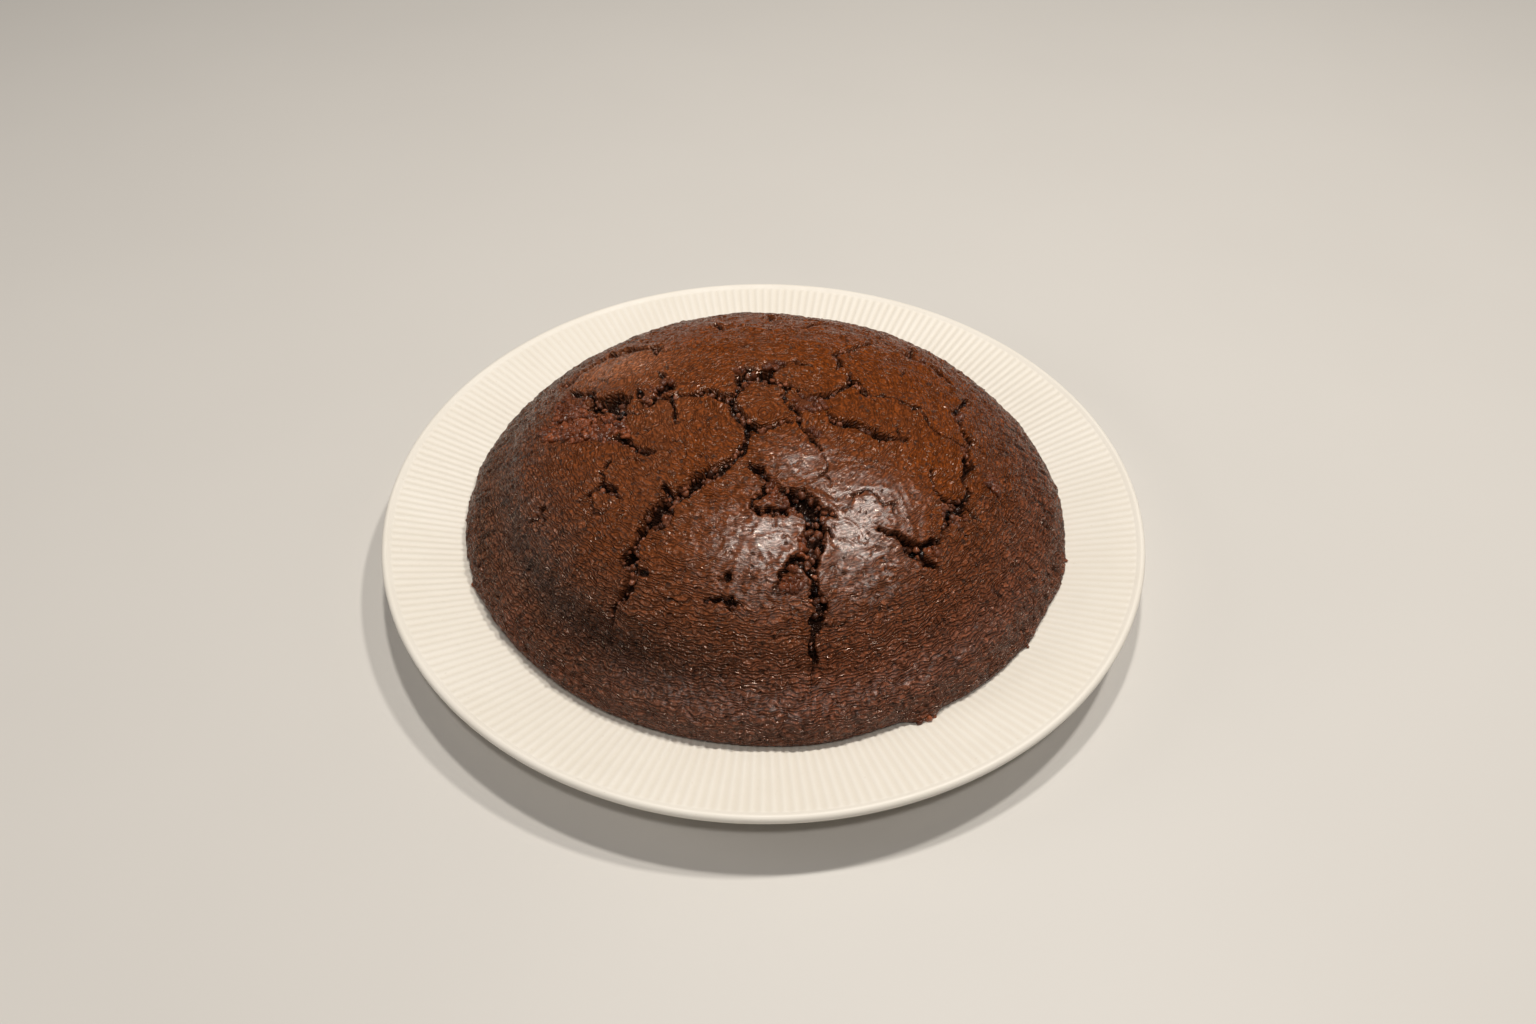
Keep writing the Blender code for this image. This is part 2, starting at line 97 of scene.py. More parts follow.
# The cracks, each along points of x, y and full width.
CRACKS = {
    "front_left": [
        (-5.5, -8.5, 2.0), (-5.5, -12, 1.6), (-6.5, -16, 2.6), (-7.5, -19, 3.6), (-9.5, -22, 2.8),
        (-12, -25, 4.4), (-15, -27.5, 5.2), (-18, -29, 4.6), (-21.5, -31, 5.0), (-24, -34.5, 4.6),
        (-27.5, -36.3, 4.0), (-30, -38, 5.6), (-31.5, -41, 6.6), (-33, -44, 7.6), (-36, -46.5, 4.4),
        (-37.8, -49.5, 2.8), (-38.8, -52, 2.6), (-40.8, -55.5, 4.8), (-39, -59.5, 2.8),
        (-39.5, -62.5, 3.6), (-41, -64.5, 3.6), (-43.8, -66.2, 1.1), (-45.3, -68.5, 1.6), (-46, -71, 0.8),
        (-49, -72, 0.5)],
    "front_left_knob": [(-28, -36, 3.6), (-30, -33.5, 3.2), (-31, -31.3, 1.0)],
    "front_left_spur": [(-38, -60, 2.2), (-35.2, -60.3, 1.8)],
    "front_left_nick": [(-41, -56, 2.4), (-44.3, -54.8, 1.0)],
    "island_front": [
        (-10.8, 5, 3.2), (-10, 1.5, 3.2), (-8, -1.5, 3.4), (-6, -4, 4.4), (-4, -7, 5.0),
        (-0.5, -8.5, 4.4), (2, -7, 3.4), (4.5, -4.8, 3.0), (7, -3.8, 2.0), (9, -4.5, 1.2)],
    "island_left": [
        (-10.3, 7, 3.6), (-8.7, 11, 2.6), (-7.5, 15, 3.6), (-7.8, 19, 4.6), (-5, 22.3, 2.8),
        (-3.8, 25.5, 1.2)],
    "island_hole": [(-2.2, 21.5, 3.4), (0, 19.5, 5.8), (2.4, 16.8, 4.4)],
    "island_top": [
        (-7, 16.5, 2.4), (-3.5, 18, 2.6), (4, 17.5, 2.0), (6, 15.5, 1.8), (7.7, 14.2, 2.8), (7, 11, 1.6),
        (5.6, 8.2, 2.2), (7.5, 6, 1.8)],
    "island_nick": [(8.5, 15, 1.6), (10.3, 13, 1.6), (11.4, 10.8, 1.2), (13, 9.3, 1.6)],
    "back_crumb": [(2, 22.5, 2.4), (5.8, 24.5, 2.4), (7, 27, 1.4)],
    "left_arm": [
        (-11, 7.5, 5.0), (-13.5, 8, 5.0), (-16, 9, 4.4), (-18.5, 11.5, 3.0), (-21.5, 10.6, 2.6),
        (-24.5, 10, 2.6), (-28, 9.6, 2.2), (-30.5, 8.3, 3.6), (-33.5, 9.2, 2.2), (-36.5, 9.2, 3.8),
        (-38.8, 7, 4.6)],
    "left_arm_down": [
        (-30.5, 7, 2.6), (-30, 4.5, 1.6), (-29.8, 2, 1.4), (-29.2, -0.5, 2.0), (-28.7, -3, 1.4),
        (-28.5, -4.5, 0.6)],
    "left_arm_back": [(-39, 8.5, 3.6), (-41.5, 10.5, 2.8), (-42, 13, 2.4), (-42.4, 15.3, 1.4)],
    "left_arm_up": [
        (-37, 10.5, 3.0), (-34.5, 13, 3.6), (-32.2, 15.3, 3.8), (-33, 18, 1.8), (-34.2, 20.2, 1.6),
        (-35, 22.6, 2.6), (-37, 25, 0.8)],
    "cavity": [
        (-60.5, 10.8, 2.6), (-57.5, 10.2, 5.6), (-54, 9.8, 7.6), (-51, 10.2, 8.8), (-48.5, 9, 8.2),
        (-46.5, 7, 4.2)],
    "cavity_front": [(-47.5, 6, 3.0), (-48.5, 3.6, 4.0), (-47.2, 1.2, 2.8), (-46.6, -1.2, 1.0)],
    "cavity_spur": [(-46, 3.2, 2.4), (-43.5, 3, 1.4), (-41, 2.2, 0.8)],
    "cavity_back": [
        (-67, 26, 2.0), (-65.5, 22, 4.2), (-62.5, 20, 3.2), (-59.5, 18.8, 3.4), (-58, 15.5, 3.0),
        (-57, 12.5, 2.8)],
    "back_left_arc": [
        (-72, 34.5, 2.4), (-68.5, 32.5, 4.4), (-66, 35.5, 3.2), (-63, 39.3, 4.2), (-59, 42, 3.0),
        (-55, 44.5, 4.2), (-52, 43.8, 3.2), (-48.7, 44.2, 5.2), (-45.5, 42.8, 3.6), (-42, 42.6, 3.6),
        (-39.8, 42.8, 3.4), (-38, 40.6, 4.4), (-38, 37.3, 2.2)],
    "back_left_spur": [(-38, 38.2, 1.6), (-34.3, 37.4, 0.8)],
    "left_short": [
        (-49.5, -7.5, 1.8), (-46.5, -8.5, 2.6), (-44.3, -11, 3.4), (-42, -13, 2.6), (-40, -15.5, 3.6),
        (-37.5, -17.2, 3.2), (-35.3, -17.8, 1.8)],
    "left_low": [
        (-49, -18.8, 1.6), (-51, -20.8, 1.6), (-52.3, -22.8, 2.2), (-50.6, -24.5, 1.6), (-51.5, -27, 1.8),
        (-49.5, -29.5, 3.0), (-47.3, -31.3, 3.2), (-45.5, -33, 1.4), (-43.8, -34.8, 0.5)],
    "left_low_branch": [(-51, -28.5, 1.6), (-54, -29.8, 1.4), (-56, -30, 1.8), (-58.8, -31.2, 0.7)],
    "left_knob": [
        (-53.6, -32, 0.6), (-53.9, -34.5, 1.0), (-52.4, -37.3, 1.0), (-50.3, -38.3, 1.3),
        (-48.8, -37, 0.6)],
    "far_left": [(-77, -34, 0.7), (-73.5, -32.5, 1.6), (-71, -29.5, 2.2)],
    "far_left_foot": [(-71, -32, 1.4), (-70, -35, 1.9)],
    "front_top": [
        (-4.8, -24.6, 2.0), (-1.5, -26.6, 3.6), (0.3, -29.8, 3.0), (0.4, -33, 2.0), (-0.6, -36.4, 3.2),
        (-3.4, -38.8, 1.6), (-3.4, -42, 2.6), (-1, -43.8, 2.8), (3, -43.5, 2.6), (7, -44.3, 2.4)],
    "front_void": [
        (4, -35.5, 2.0), (7.5, -36, 4.2), (10.5, -38.5, 7.4), (13.5, -41.5, 8.0), (15.8, -44.8, 7.0),
        (16.5, -48, 4.6)],
    "front_void_tip": [(16.5, -43, 4.0), (19.5, -43.6, 2.4), (22.4, -44.4, 0.7)],
    "front_long": [
        (15.6, -48, 5.4), (14.9, -52, 5.8), (14.5, -56, 5.4), (14.7, -59.5, 3.8), (14.3, -62.5, 3.4),
        (14.8, -66, 3.8), (15.8, -69.3, 4.4), (16.8, -71.5, 3.6), (15.5, -74.5, 3.4), (14.8, -78, 2.8),
        (14.5, -80.5, 1.8), (15, -83.5, 2.4), (15, -86.5, 0.9), (14.5, -90.5, 0.5)],
    "front_branch": [
        (14, -60.5, 2.4), (10.5, -59.8, 2.8), (7.5, -61, 2.4), (5.2, -63.5, 1.6), (4.2, -67, 1.2),
        (1.4, -69.3, 0.6)],
    "front_nick": [(17, -48.5, 1.6), (19.8, -49.2, 1.4), (20.3, -51.3, 1.0)],
    "front_hair": [
        (16.5, -75.6, 1.2), (20, -76.2, 0.8), (23, -75.6, 0.9), (24.8, -74.2, 0.7), (27.5, -74, 0.4)],
    "right_front": [
        (35, -47.2, 1.6), (37.6, -48.7, 2.8), (41, -48.5, 3.4), (44, -50.5, 4.0), (46.3, -52.4, 4.2),
        (49.5, -54.7, 3.8), (52.8, -55.6, 1.4)],
    "right_front_up": [
        (47, -51.4, 3.2), (50.3, -48.9, 3.0), (53, -47, 2.0), (54.7, -45.3, 1.5), (55.7, -42.7, 1.8),
        (57.2, -39.5, 3.4), (58.8, -36.2, 5.4), (61.2, -32.3, 4.6), (63.2, -29.8, 3.0), (65, -26, 2.2),
        (64.6, -22.5, 1.4), (64.5, -19.5, 1.6), (65.7, -14.3, 4.6), (66.8, -10.5, 1.8), (66.2, -7, 2.2),
        (68, -4.2, 3.2), (67.3, -1.2, 3.6), (65.8, 2.5, 1.8), (65, 6.5, 1.6), (64.6, 10.8, 2.6),
        (66, 14.5, 1.2), (68.4, 17.8, 2.0), (69.2, 20.5, 3.0), (69.8, 22.8, 1.4)],
    "right_inner": [
        (60, -32.3, 3.0), (57, -32, 3.0), (54.6, -31.2, 2.6), (53, -29, 1.6), (52.8, -25, 1.2),
        (53.2, -21.3, 1.8)],
    "right_low_hair": [(63.5, -32.6, 1.6), (66.3, -34.9, 1.1), (69.2, -35.2, 0.6)],
    "right_nick": [(68.5, -4.5, 1.2), (70.6, -3.6, 0.8), (73.2, -2.6, 0.6)],
    "right_middle": [
        (21.2, 0.8, 1.8), (21.8, -2.5, 3.0), (23.5, -4.8, 3.4), (26.5, -5.3, 3.0), (29.5, -6.1, 3.6),
        (33, -7.3, 3.6), (35.8, -8.9, 3.8), (38, -10.8, 4.4), (41, -10.7, 1.9), (43.5, -10.1, 2.6),
        (46, -9.8, 2.4)],
    "right_spur": [(43.6, -9, 1.6), (43.6, -5.5, 0.9), (43.8, -2.3, 0.6)],
    "middle_right": [
        (13.5, 8.6, 1.8), (17, 8.3, 2.2), (20.5, 9.8, 2.4), (23.8, 11.3, 2.0), (26, 13.8, 2.2),
        (28, 16.4, 2.6), (30, 19.3, 3.8), (28.6, 22.6, 1.9)],
    "middle_right_low": [
        (30.7, 18, 3.4), (32.3, 14.3, 2.8), (34.3, 11.2, 2.0), (37, 10.7, 1.2), (40, 10.9, 0.9),
        (44, 11.2, 0.8), (47.3, 9, 1.8), (50, 7.6, 2.6), (53, 8.2, 1.2)],
    "middle_right_end": [
        (52.3, 6.6, 1.0), (53.6, 3.4, 1.6), (54.2, 1, 0.8), (55.4, -1.6, 1.3), (58.2, -3.7, 0.7),
        (60.2, -4.4, 0.8), (62.6, -5.5, 1.4), (65, -6.6, 1.6)],
    "island_stem": [
        (9, 3.5, 2.0), (11, 0, 2.2), (11.4, -4, 1.9), (12.3, -7.5, 1.5), (14, -11, 1.2), (16, -14, 2.2),
        (18, -17.5, 1.4)],
    "island_stem_hair": [
        (18.8, -19.5, 0.8), (19.8, -23, 0.7), (19.6, -26.6, 1.0), (18, -28.4, 1.4), (15.8, -28.4, 0.5)],
    "island_stem_low": [(19.3, -28.6, 0.6), (20.5, -31, 0.9), (20.8, -33.2, 0.6)],
    "sheen_hair": [
        (23.8, -42.2, 0.4), (26, -40.3, 0.6), (26.4, -38, 0.6), (27, -36.3, 0.9), (28.8, -35, 1.0),
        (31.3, -34.6, 1.1), (34.2, -35.9, 1.0), (36.2, -38.1, 1.1), (38.6, -38.7, 1.2),
        (40.3, -38.9, 0.9)],
    "sheen_hair_end": [(39.4, -38.8, 1.0), (39.8, -41.3, 0.7)],
    "sheen_line": [(24.6, -51.9, 0.4), (28, -52.6, 0.5), (31.3, -52.9, 0.4)],
    "back_right_arm": [
        (39, 47.6, 1.0), (36.5, 45, 2.2), (34, 42.3, 1.5), (31.5, 39, 2.0), (28.5, 36.5, 1.6),
        (25, 35, 2.6), (23.8, 32.5, 2.4), (25, 29.5, 2.4), (26, 27, 2.8), (24.3, 24.2, 1.2)],
    "back_right_small": [(10, 28.4, 1.8), (11.5, 26.8, 2.4), (13.3, 26.1, 1.0), (16.4, 26.3, 1.3)],
    "back_right_arc": [
        (40, 46, 1.0), (43.5, 45.2, 1.4), (47, 43.6, 2.0), (50.5, 42.3, 2.6), (53.5, 40, 2.6),
        (57, 37.5, 2.0), (60.5, 36, 2.4), (62.5, 32.5, 2.6), (65, 29.3, 2.2)],
    "back_right_up": [(51.5, 43, 2.2), (52.5, 47.5, 2.4), (53.5, 53, 1.6)],
    "back_right_hair": [(48.3, 30, 0.4), (48, 27, 0.8), (47.3, 23.8, 0.6)],
    "back_short": [(-18.7, 59.5, 2.2), (-17, 56, 2.6), (-15, 51.5, 1.2)],
    "back_row": [
        (-10.5, 54, 1.4), (-7.5, 54.6, 2.4), (-4, 53.5, 2.4), (-1, 53.4, 1.6), (3, 52.6, 1.0),
        (7, 53, 1.6), (11, 53.6, 1.6), (14.5, 54.5, 1.6), (16.8, 57.5, 2.8), (19, 60.5, 2.2),
        (19.8, 65, 1.4)],
    "back_far": [(2.6, 70, 2.6), (2.4, 65.5, 2.6), (1.8, 60.5, 1.2)],
    "back_speck": [(-9, 37.3, 0.6), (-7, 37.7, 1.1), (-5, 37.0, 0.6)],
    "front_left_small": [(-17.5, -69.8, 1.2), (-13, -70.6, 2.6), (-9.5, -71.6, 3.0), (-7.5, -72, 1.4)],
    "front_left_dot": [(-13.4, -65, 1.4), (-10.4, -64.2, 2.2)],
    "inner_hair": [(-29.3, -12.9, 0.9), (-27, -14, 0.7), (-25.3, -16, 0.5), (-24.7, -21, 0.5)],
    "left_hair": [(-61, 28.4, 0.7), (-57.5, 27, 0.8), (-55, 25, 1.0), (-52.5, 26.8, 0.6)],
    "left_hair_low": [(-55, 25, 0.9), (-53.3, 23.2, 0.6)],
    "left_thin": [(-47, -20.8, 0.5), (-44, -21, 0.5), (-42, -20.6, 0.4)],
    "front_hair_left": [(-30.4, -67.6, 0.5), (-27, -69.3, 0.7), (-24, -70.6, 0.5)],
    "front_hair_right": [(48, -61.5, 0.5), (48.4, -64.2, 0.7), (49.5, -66.5, 0.4)],
}

# Pits: x, y, radius. Besides these, each cell whose random number is above PIT_SHARE has one, and a cell
# with a higher number has a larger one.
PITS = [
    (-38, -6.3, 0.9), (-23.7, -3.3, 0.9), (3.2, -25.6, 0.9), (22.2, -38.2, 0.8), (24.8, -37.2, 0.6),
    (62.5, -39.6, 0.9), (63.2, -41.8, 0.9), (20, -61, 0.6), (21.6, -60.6, 0.6), (36, -56, 0.5),
    (-15, -48.6, 0.6), (6, -52, 0.5)]
PIT_CELL, PIT_SHARE = 4.4, 0.6
PIT_SMALLEST, PIT_GROWTH = 0.40, 0.45

# Where the crust has come away and crumb shows: x, y, reach along x, reach along y, depth, wetness.
CRUMB_PATCHES = [
    (-66.5, 4.5, 9.5, 7.0, 1.6, 0.0), (-56.5, -1.2, 11, 6.4, 1.5, 0.1), (-48.5, -6.8, 6, 4.4, 1.0, 0.2),
    (-66, 15.5, 6, 6.5, 1.2, 0.6), (-38, 11.5, 5.4, 4.6, 1.8, 0.6), (-32.7, 14.5, 3.4, 4.0, 1.2, 0.7),
    (14.5, 4.8, 6.8, 4.2, 1.1, 0.8), (-7.2, 19, 3.8, 5.4, 1.3, 0.8), (4, 25.3, 3.8, 3.6, 0.7, 0.7),
    (2.3, -35, 3.0, 5.2, 1.6, 0.5), (11, -40.5, 5.6, 5.0, 2.4, 0.6), (13, -55, 3.2, 6.0, 2.2, 0.1),
    (8.8, -65.3, 4.2, 3.6, 0.9, 0.6), (59.2, -36, 4.4, 4.6, 1.1, 0.8), (52, -51, 2.8, 2.4, 0.8, 0.5),
    (74, -19, 2.4, 4.4, 0.3, 0.7), (66, -8.5, 1.8, 3.6, 0.6, 0.8), (65.2, 5.5, 1.5, 5.0, 0.4, 0.8),
    (16.3, -9, 2.8, 2.2, 0.4, 0.7), (54.5, 38.5, 3.2, 2.6, 0.4, 0.7)]
PATCH_CROWDING = 2.2      # lumps of crumb for each square millimetre of a patch's reach times reach

# Broad forms of the crust: x, y, reach along x, reach along y, height.
SWELLS = [
    (-78, -18, 8, 26, 0.8), (0, -60, 30, 16, 0.9), (33, -36, 16, 11, 0.9), (-22, -10, 13, 11, 0.6),
    (45, 22, 15, 13, 0.7), (0, 4, 7, 6, 0.6), (-4.5, -31, 3.2, 3.4, 0.8), (16, -3.6, 3.2, 2.8, 0.5),
    (10, -22, 7, 6, 0.6), (-50, 32, 13, 9, 0.8), (5, 45, 24, 12, 0.5), (30, -2.4, 6, 1.5, 1.0),
    (46, -35, 9, 9, 0.6)]

# Paler skin, drier and partly a painted sheen of grazing light: x, y, reach along x, reach along y, strength.
PALE_SHEEN = [(-52, 33, 15, 10, 0.95), (-30, 0, 10, 8, 0.15)]

# Smoother skin, where light gathers to a sheen: x, y, reach along x, reach along y, strength.
SHEEN = [(1, -55, 15, 14, 1.0), (28, -53, 15, 14, 1.0), (13, -22, 9, 8, 1.0), (32, -34, 12, 8, 1.0)]

# Crumb pressed out at the foot: bearing in degrees, half width in degrees, reach.
FOOT_TABS = [(-62, 3.0, 2.2), (-36, 2.2, 0.7), (-18, 6.0, 1.1), (-158, 2.6, 0.7)]
FOOT_TAB_HEIGHT = 3.2

# Loose crumbs on the flange: bearing in degrees, distance outside the foot.
LOOSE_CRUMBS = [(-63.2, 1.8), (-61.6, 2.3), (-60.4, 1.6), (-37, 0.8), (-20, 0.9), (-14, 0.8),
                (-159, 0.7), (131, 1.0)]

# Where the outline stands in or out of the oval: bearing and half width in degrees, distance.
OUTLINE_DENTS = [(224, 26, -1.7), (262, 15, -0.9), (292, 9, -1.2), (318, 14, 0.6), (70, 12, -1.0),
                 (20, 10, -0.5)]

# Furrows and swollen rings round the side: bearing and spread in degrees, radius, half width, height.
SIDE_RINGS = [(212, 38, 90.0, 5.5, -2.8), (212, 38, 99.5, 3.5, 0.9),
              (290, 56, 89.5, 5.5, -1.5), (290, 56, 98.0, 3.2, 1.8)]

# Painted shade in the furrow at the front left, where the dome's curve keeps the light off: bearing, spread,
# radius, half width.
FURROW_SHADE = (238, 26, 89.5, 5.5)

# ---- the photograph's camera ----
CAMERA_PLACE = (0.0, -327.586, 329.915)
CAMERA_RIGHT = (0.99998693, 0.00061133, 0.00507672)
CAMERA_UP = (-0.00406968, 0.69625324, 0.71778469)
CAMERA_FOCAL_PIXELS, PHOTO_WIDTH = 1299.19, 1536
SENSOR_WIDTH = 36.0

# ---- the lights: place and diameter in metres, the setting that gives the power, share of it, colour ----
LIGHT_AIM = (0.0, 0.0, 0.04)
LIGHTS = {
    "key_middle": ((0.02, 0.20, 1.18), 0.09, "key", 0.5, (1.0, 0.95, 0.88)),
    "key_right": ((0.44, 0.24, 1.12), 0.09, "key", 0.5, (1.0, 0.95, 0.88)),
    "front": ((0.05, -0.62, 1.05), 0.09, "front", 1.0, (1.0, 0.95, 0.90)),
    "fill_left": ((-1.1, -0.1, 0.55), 0.5, "fill", 2.0, (1.0, 0.95, 0.90)),
    "fill_right": ((1.1, 0.3, 0.55), 0.9, "fill", 1.0, (1.0, 0.95, 0.90)),
}
SKY_COLOUR = (1.0, 0.97, 0.93, 1.0)


# ---- noise ----
def lattice_value(column, row, seed):
    """A fixed pseudo-random number from 0 to 1 for each whole-number place."""
    mask = 0xFFFFFFFF
    mixed = (column * 374761393 + row * 668265263 + seed * 974634777) & mask
    mixed = ((mixed ^ (mixed >> 13)) * 1274126177) & mask
    return ((mixed ^ (mixed >> 16)) & 0xFFFFFF) / 0xFFFFFF


def ripple(x, y, size, seed):
    """Gradient noise, about -1 to 1: each lattice corner tilts a plane, and the four planes are blended."""
    u, v = x / size, y / size
    column, row = np.floor(u).astype(np.int64), np.floor(v).astype(np.int64)
    fu, fv = u - column, v - row
    su, sv = (part ** 3 * (part * (part * 6 - 15) + 10) for part in (fu, fv))
    total = 0.0
    for i, weight_u in ((0, 1 - su), (1, su)):
        for j, weight_v in ((0, 1 - sv), (1, sv)):
            turn = lattice_value(column + i, row + j, seed) * math.tau
            total = total + weight_u * weight_v * (np.cos(turn) * (fu - i) + np.sin(turn) * (fv - j))
    return 1.6 * total


def noises(x, y, table, field=ripple, start=0.0):
    """The start plus strength times a noise, for each strength, size and seed of a table."""
    for strength, size, seed in table:
        start = start + strength * field(x, y, size, seed)
    return start


def creased(u, v, push, push_size, size, seed):
    """Ripple folded up at zero, read at places that two broader ripples push about."""
    pushed_u = u + push * ripple(u, v, push_size, seed)
    pushed_v = v + push * ripple(u, v, push_size, seed + 1)
    return np.abs(ripple(pushed_u, pushed_v, size, seed + 2))


def cells(x, y, size, seed):
    """Distance to the nearest of one random point per square of a grid, and that point's own number."""
    column, row = np.floor(x / size).astype(np.int64), np.floor(y / size).astype(np.int64)
    nearest = np.full(x.shape, 1e9)
    number = np.zeros(x.shape)
    for i in (-1, 0, 1):
        for j in (-1, 0, 1):
            here, there = column + i, row + j
            dx = (here + lattice_value(here, there, seed)) * size - x
            dy = (there + lattice_value(here, there, seed + 1)) * size - y
            distance = np.hypot(dx, dy)
            closer = distance < nearest
            nearest = np.where(closer, distance, nearest)
            number = np.where(closer, lattice_value(here, there, seed + 2), number)
    return nearest, number


def chips(x, y, size, seed):
    """A number from -0.5 to 0.5 that is even over each cell and jumps at its border."""
    return cells(x, y, size, seed)[1] - 0.5


def lumps(x, y, size, seed):
    """Round-topped lumps, 0 to 1, one in each cell."""
    distance, number = cells(x, y, size, seed)
    return np.sqrt(np.clip(1 - (distance / (0.75 * size)) ** 2, 0, 1)) * (0.55 + 0.45 * number)


def ease(share):
    """0 below 0, 1 above 1, and a smooth step between."""
    share = np.clip(share, 0, 1)
    return share * share * (3 - 2 * share)


def bumps(x, y, table):
    """The sum of round hills: height times exp(-(dx / rx) ** 2 - (dy / ry) ** 2)."""
    return sum(height * np.exp(-((x - cx) / rx) ** 2 - ((y - cy) / ry) ** 2)
               for cx, cy, rx, ry, height in table)


# ---- forms shared by the pieces ----
def bend_start(rim):
    """Radius at which the flat well begins to turn up, for a rim of this radius."""
    return rim - (PLATE_TOP - WELL_Z) / FLANGE_SLOPE - FLANGE_BLEND / 2


def plate_top(radius):
    """Flat well, a parabola that turns up over FLANGE_BLEND, then the straight flange to the rim."""
    start = bend_start(PLATE_RIM)
    turn = np.clip(radius - start, 0, FLANGE_BLEND)
    straight = np.clip(radius - start - FLANGE_BLEND, 0, None)
    return WELL_Z + FLANGE_SLOPE * (turn ** 2 / (2 * FLANGE_BLEND) + straight)


def under_cake(radius):
    """Height of the cake's underside: the plate's top, its rib crests and a clearance."""
    return plate_top(radius) + look_plate().rib_relief / MM + CAKE_CLEARANCE


def dome_height(radius, look):
    """Edge height plus the rise times (1 - (r / R) ** power) ** (1 / rounding)."""
    share = np.clip(radius / (look.radius / MM), 0, 1) ** DOME_POWER
    return CAKE_EDGE_Z + look.rise / MM * (1 - share) ** (1 / DOME_ROUNDING)


def dome_slope(radius, look):
    step = 0.25
    edge = look.radius / MM
    inner = np.clip(radius, step, edge - 1.5 * step)
    return (dome_height(inner + step, look) - dome_height(inner - step, look)) / (2 * step)


def turn_from(angle, bearing):
    """Degrees from a bearing, from -180 to 180."""
    return (np.degrees(angle) - bearing + 180.0) % 360.0 - 180.0


def outline(angle, look):
    """Share by which the cake is wider or narrower in a bearing: an oval, a third lobe and the dents."""
    out = OVAL * np.cos(2 * angle) + LOBE * np.sin(3 * angle)
    for bearing, half_width, distance in OUTLINE_DENTS:
        out = out + distance * np.exp(-(turn_from(angle, bearing) / half_width) ** 2)
    return 1 + out / (look.radius / MM)


def on_dome(x, y, lift, look):
    """The place that lies lift outside the smooth dome at a point seen from above."""
    dx, dy = x - CAKE_CENTRE[0], y - CAKE_CENTRE[1]
    angle = np.arctan2(dy, dx)
    radius = np.hypot(dx, dy) / outline(angle, look)
    slope = dome_slope(radius, look)
    length = np.hypot(slope, 1)
    out = -slope / length * lift
    height = dome_height(radius, look) + lift / length
    return np.stack([x + out * np.cos(angle), y + out * np.sin(angle), height], -1)


def crack_fields(x, y, ragged):
    """Depth of the cracks, distance outside the nearest edge, and half width there, seen from above.

    For each straight stretch: distance to its line, half width between its ends' widths, and depth
    2 CRACK_SLOPE times the half width, reached by an even wall WALL_RUN wide. The deepest stretch counts.
    The edge is moved by ragged, a noise from about -1 to 1, times a share of the half width.
    """
    depth, edge, half_width = np.zeros(x.shape), np.full(x.shape, 50.0), np.zeros(x.shape)
    for route in CRACKS.values():
        for (x0, y0, w0), (x1, y1, w1) in zip(route[:-1], route[1:]):
            reach = max(w0, w1) / 2 + 2 * LIP_REACH
            near = np.flatnonzero((x > min(x0, x1) - reach) & (x < max(x0, x1) + reach)
                                  & (y > min(y0, y1) - reach) & (y < max(y0, y1) + reach))
            dx, dy = x1 - x0, y1 - y0
            along = np.clip(((x[near] - x0) * dx + (y[near] - y0) * dy) / (dx * dx + dy * dy), 0, 1)
            distance = np.hypot(x[near] - x0 - along * dx, y[near] - y0 - along * dy)
            half = HALF_OPENING * (w0 + along * (w1 - w0))
            deepest = np.minimum(2 * CRACK_SLOPE * half, CRACK_DEEPEST)
            outside = distance - half - ragged[near] * np.clip(0.42 * half, 0.12, 0.75)
            wall = ease(-outside / np.minimum(WALL_RUN, 0.9 * half))
            depth[near] = np.maximum(depth[near], deepest * wall)
            half_width[near] = np.where(outside < edge[near], half, half_width[near])
            edge[near] = np.minimum(edge[near], outside)
    return depth, edge, half_width


def patch_fields(x, y, ragged):
    """Depth, mask and wetness of the places without crust: ellipses with an edge moved by ragged noise."""
    depth, mask, wet = np.zeros(x.shape), np.zeros(x.shape), np.zeros(x.shape)
    for cx, cy, rx, ry, deep, moist in CRUMB_PATCHES:
        inside = (1 - np.hypot((x - cx) / rx, (y - cy) / ry)) * min(rx, ry) + 0.8 * ragged
        here = ease(inside / 0.7)
        wet = np.where(here > mask, moist, wet)
        mask = np.maximum(mask, here)
        depth = np.maximum(depth, deep * ease(inside / 1.3))
    return depth, mask, wet


# ---- meshes ----
def mesh_piece(name, points, faces, values=None):
    """A smooth mesh object: points in millimetres, faces of three or four corners, values per point."""
    mesh = bpy.data.meshes.new(name)
    mesh.from_pydata(points * MM, [], faces)
    mesh.polygons.foreach_set("use_smooth", np.full(len(mesh.polygons), True))
    for key, numbers in (values or {}).items():
        field = mesh.attributes.new(key, "FLOAT", "POINT")
        field.data.foreach_set("value", np.ascontiguousarray(numbers, dtype=np.float32))
    mesh.update()
    piece = bpy.data.objects.new(name, mesh)
    bpy.context.scene.collection.objects.link(piece)
    return piece


def grid_faces(rows, columns, wrap):
    """Quads of a grid of points, row by row; wrap joins the last column to the first."""
    row, column = np.meshgrid(np.arange(rows - 1), np.arange(columns if wrap else columns - 1), indexing="ij")
    after = (column + 1) % columns
    start, above = row * columns, (row + 1) * columns
    corners = (start + column, start + after, above + after, above + column)
    return np.stack([corner.ravel() for corner in corners], -1)


def fan_faces(ring, tip):
    """Triangles from each step of a closed ring of point numbers to one tip."""
    return np.stack([ring, np.roll(ring, -1), np.full(len(ring), tip)], -1)


def thin_to(piece, triangles):
    """Collapse the flattest edges until about this many triangles are left."""
    mesh = piece.data
    mesh.calc_loop_triangles()
    thin = piece.modifiers.new("thin", "DECIMATE")
    thin.ratio = min(1.0, triangles / len(mesh.loop_triangles))
    depsgraph = bpy.context.evaluated_depsgraph_get()
    piece.data = bpy.data.meshes.new_from_object(piece.evaluated_get(depsgraph), depsgraph=depsgraph)
    piece.modifiers.clear()
    piece.data.name = piece.name
    bpy.data.meshes.remove(mesh)


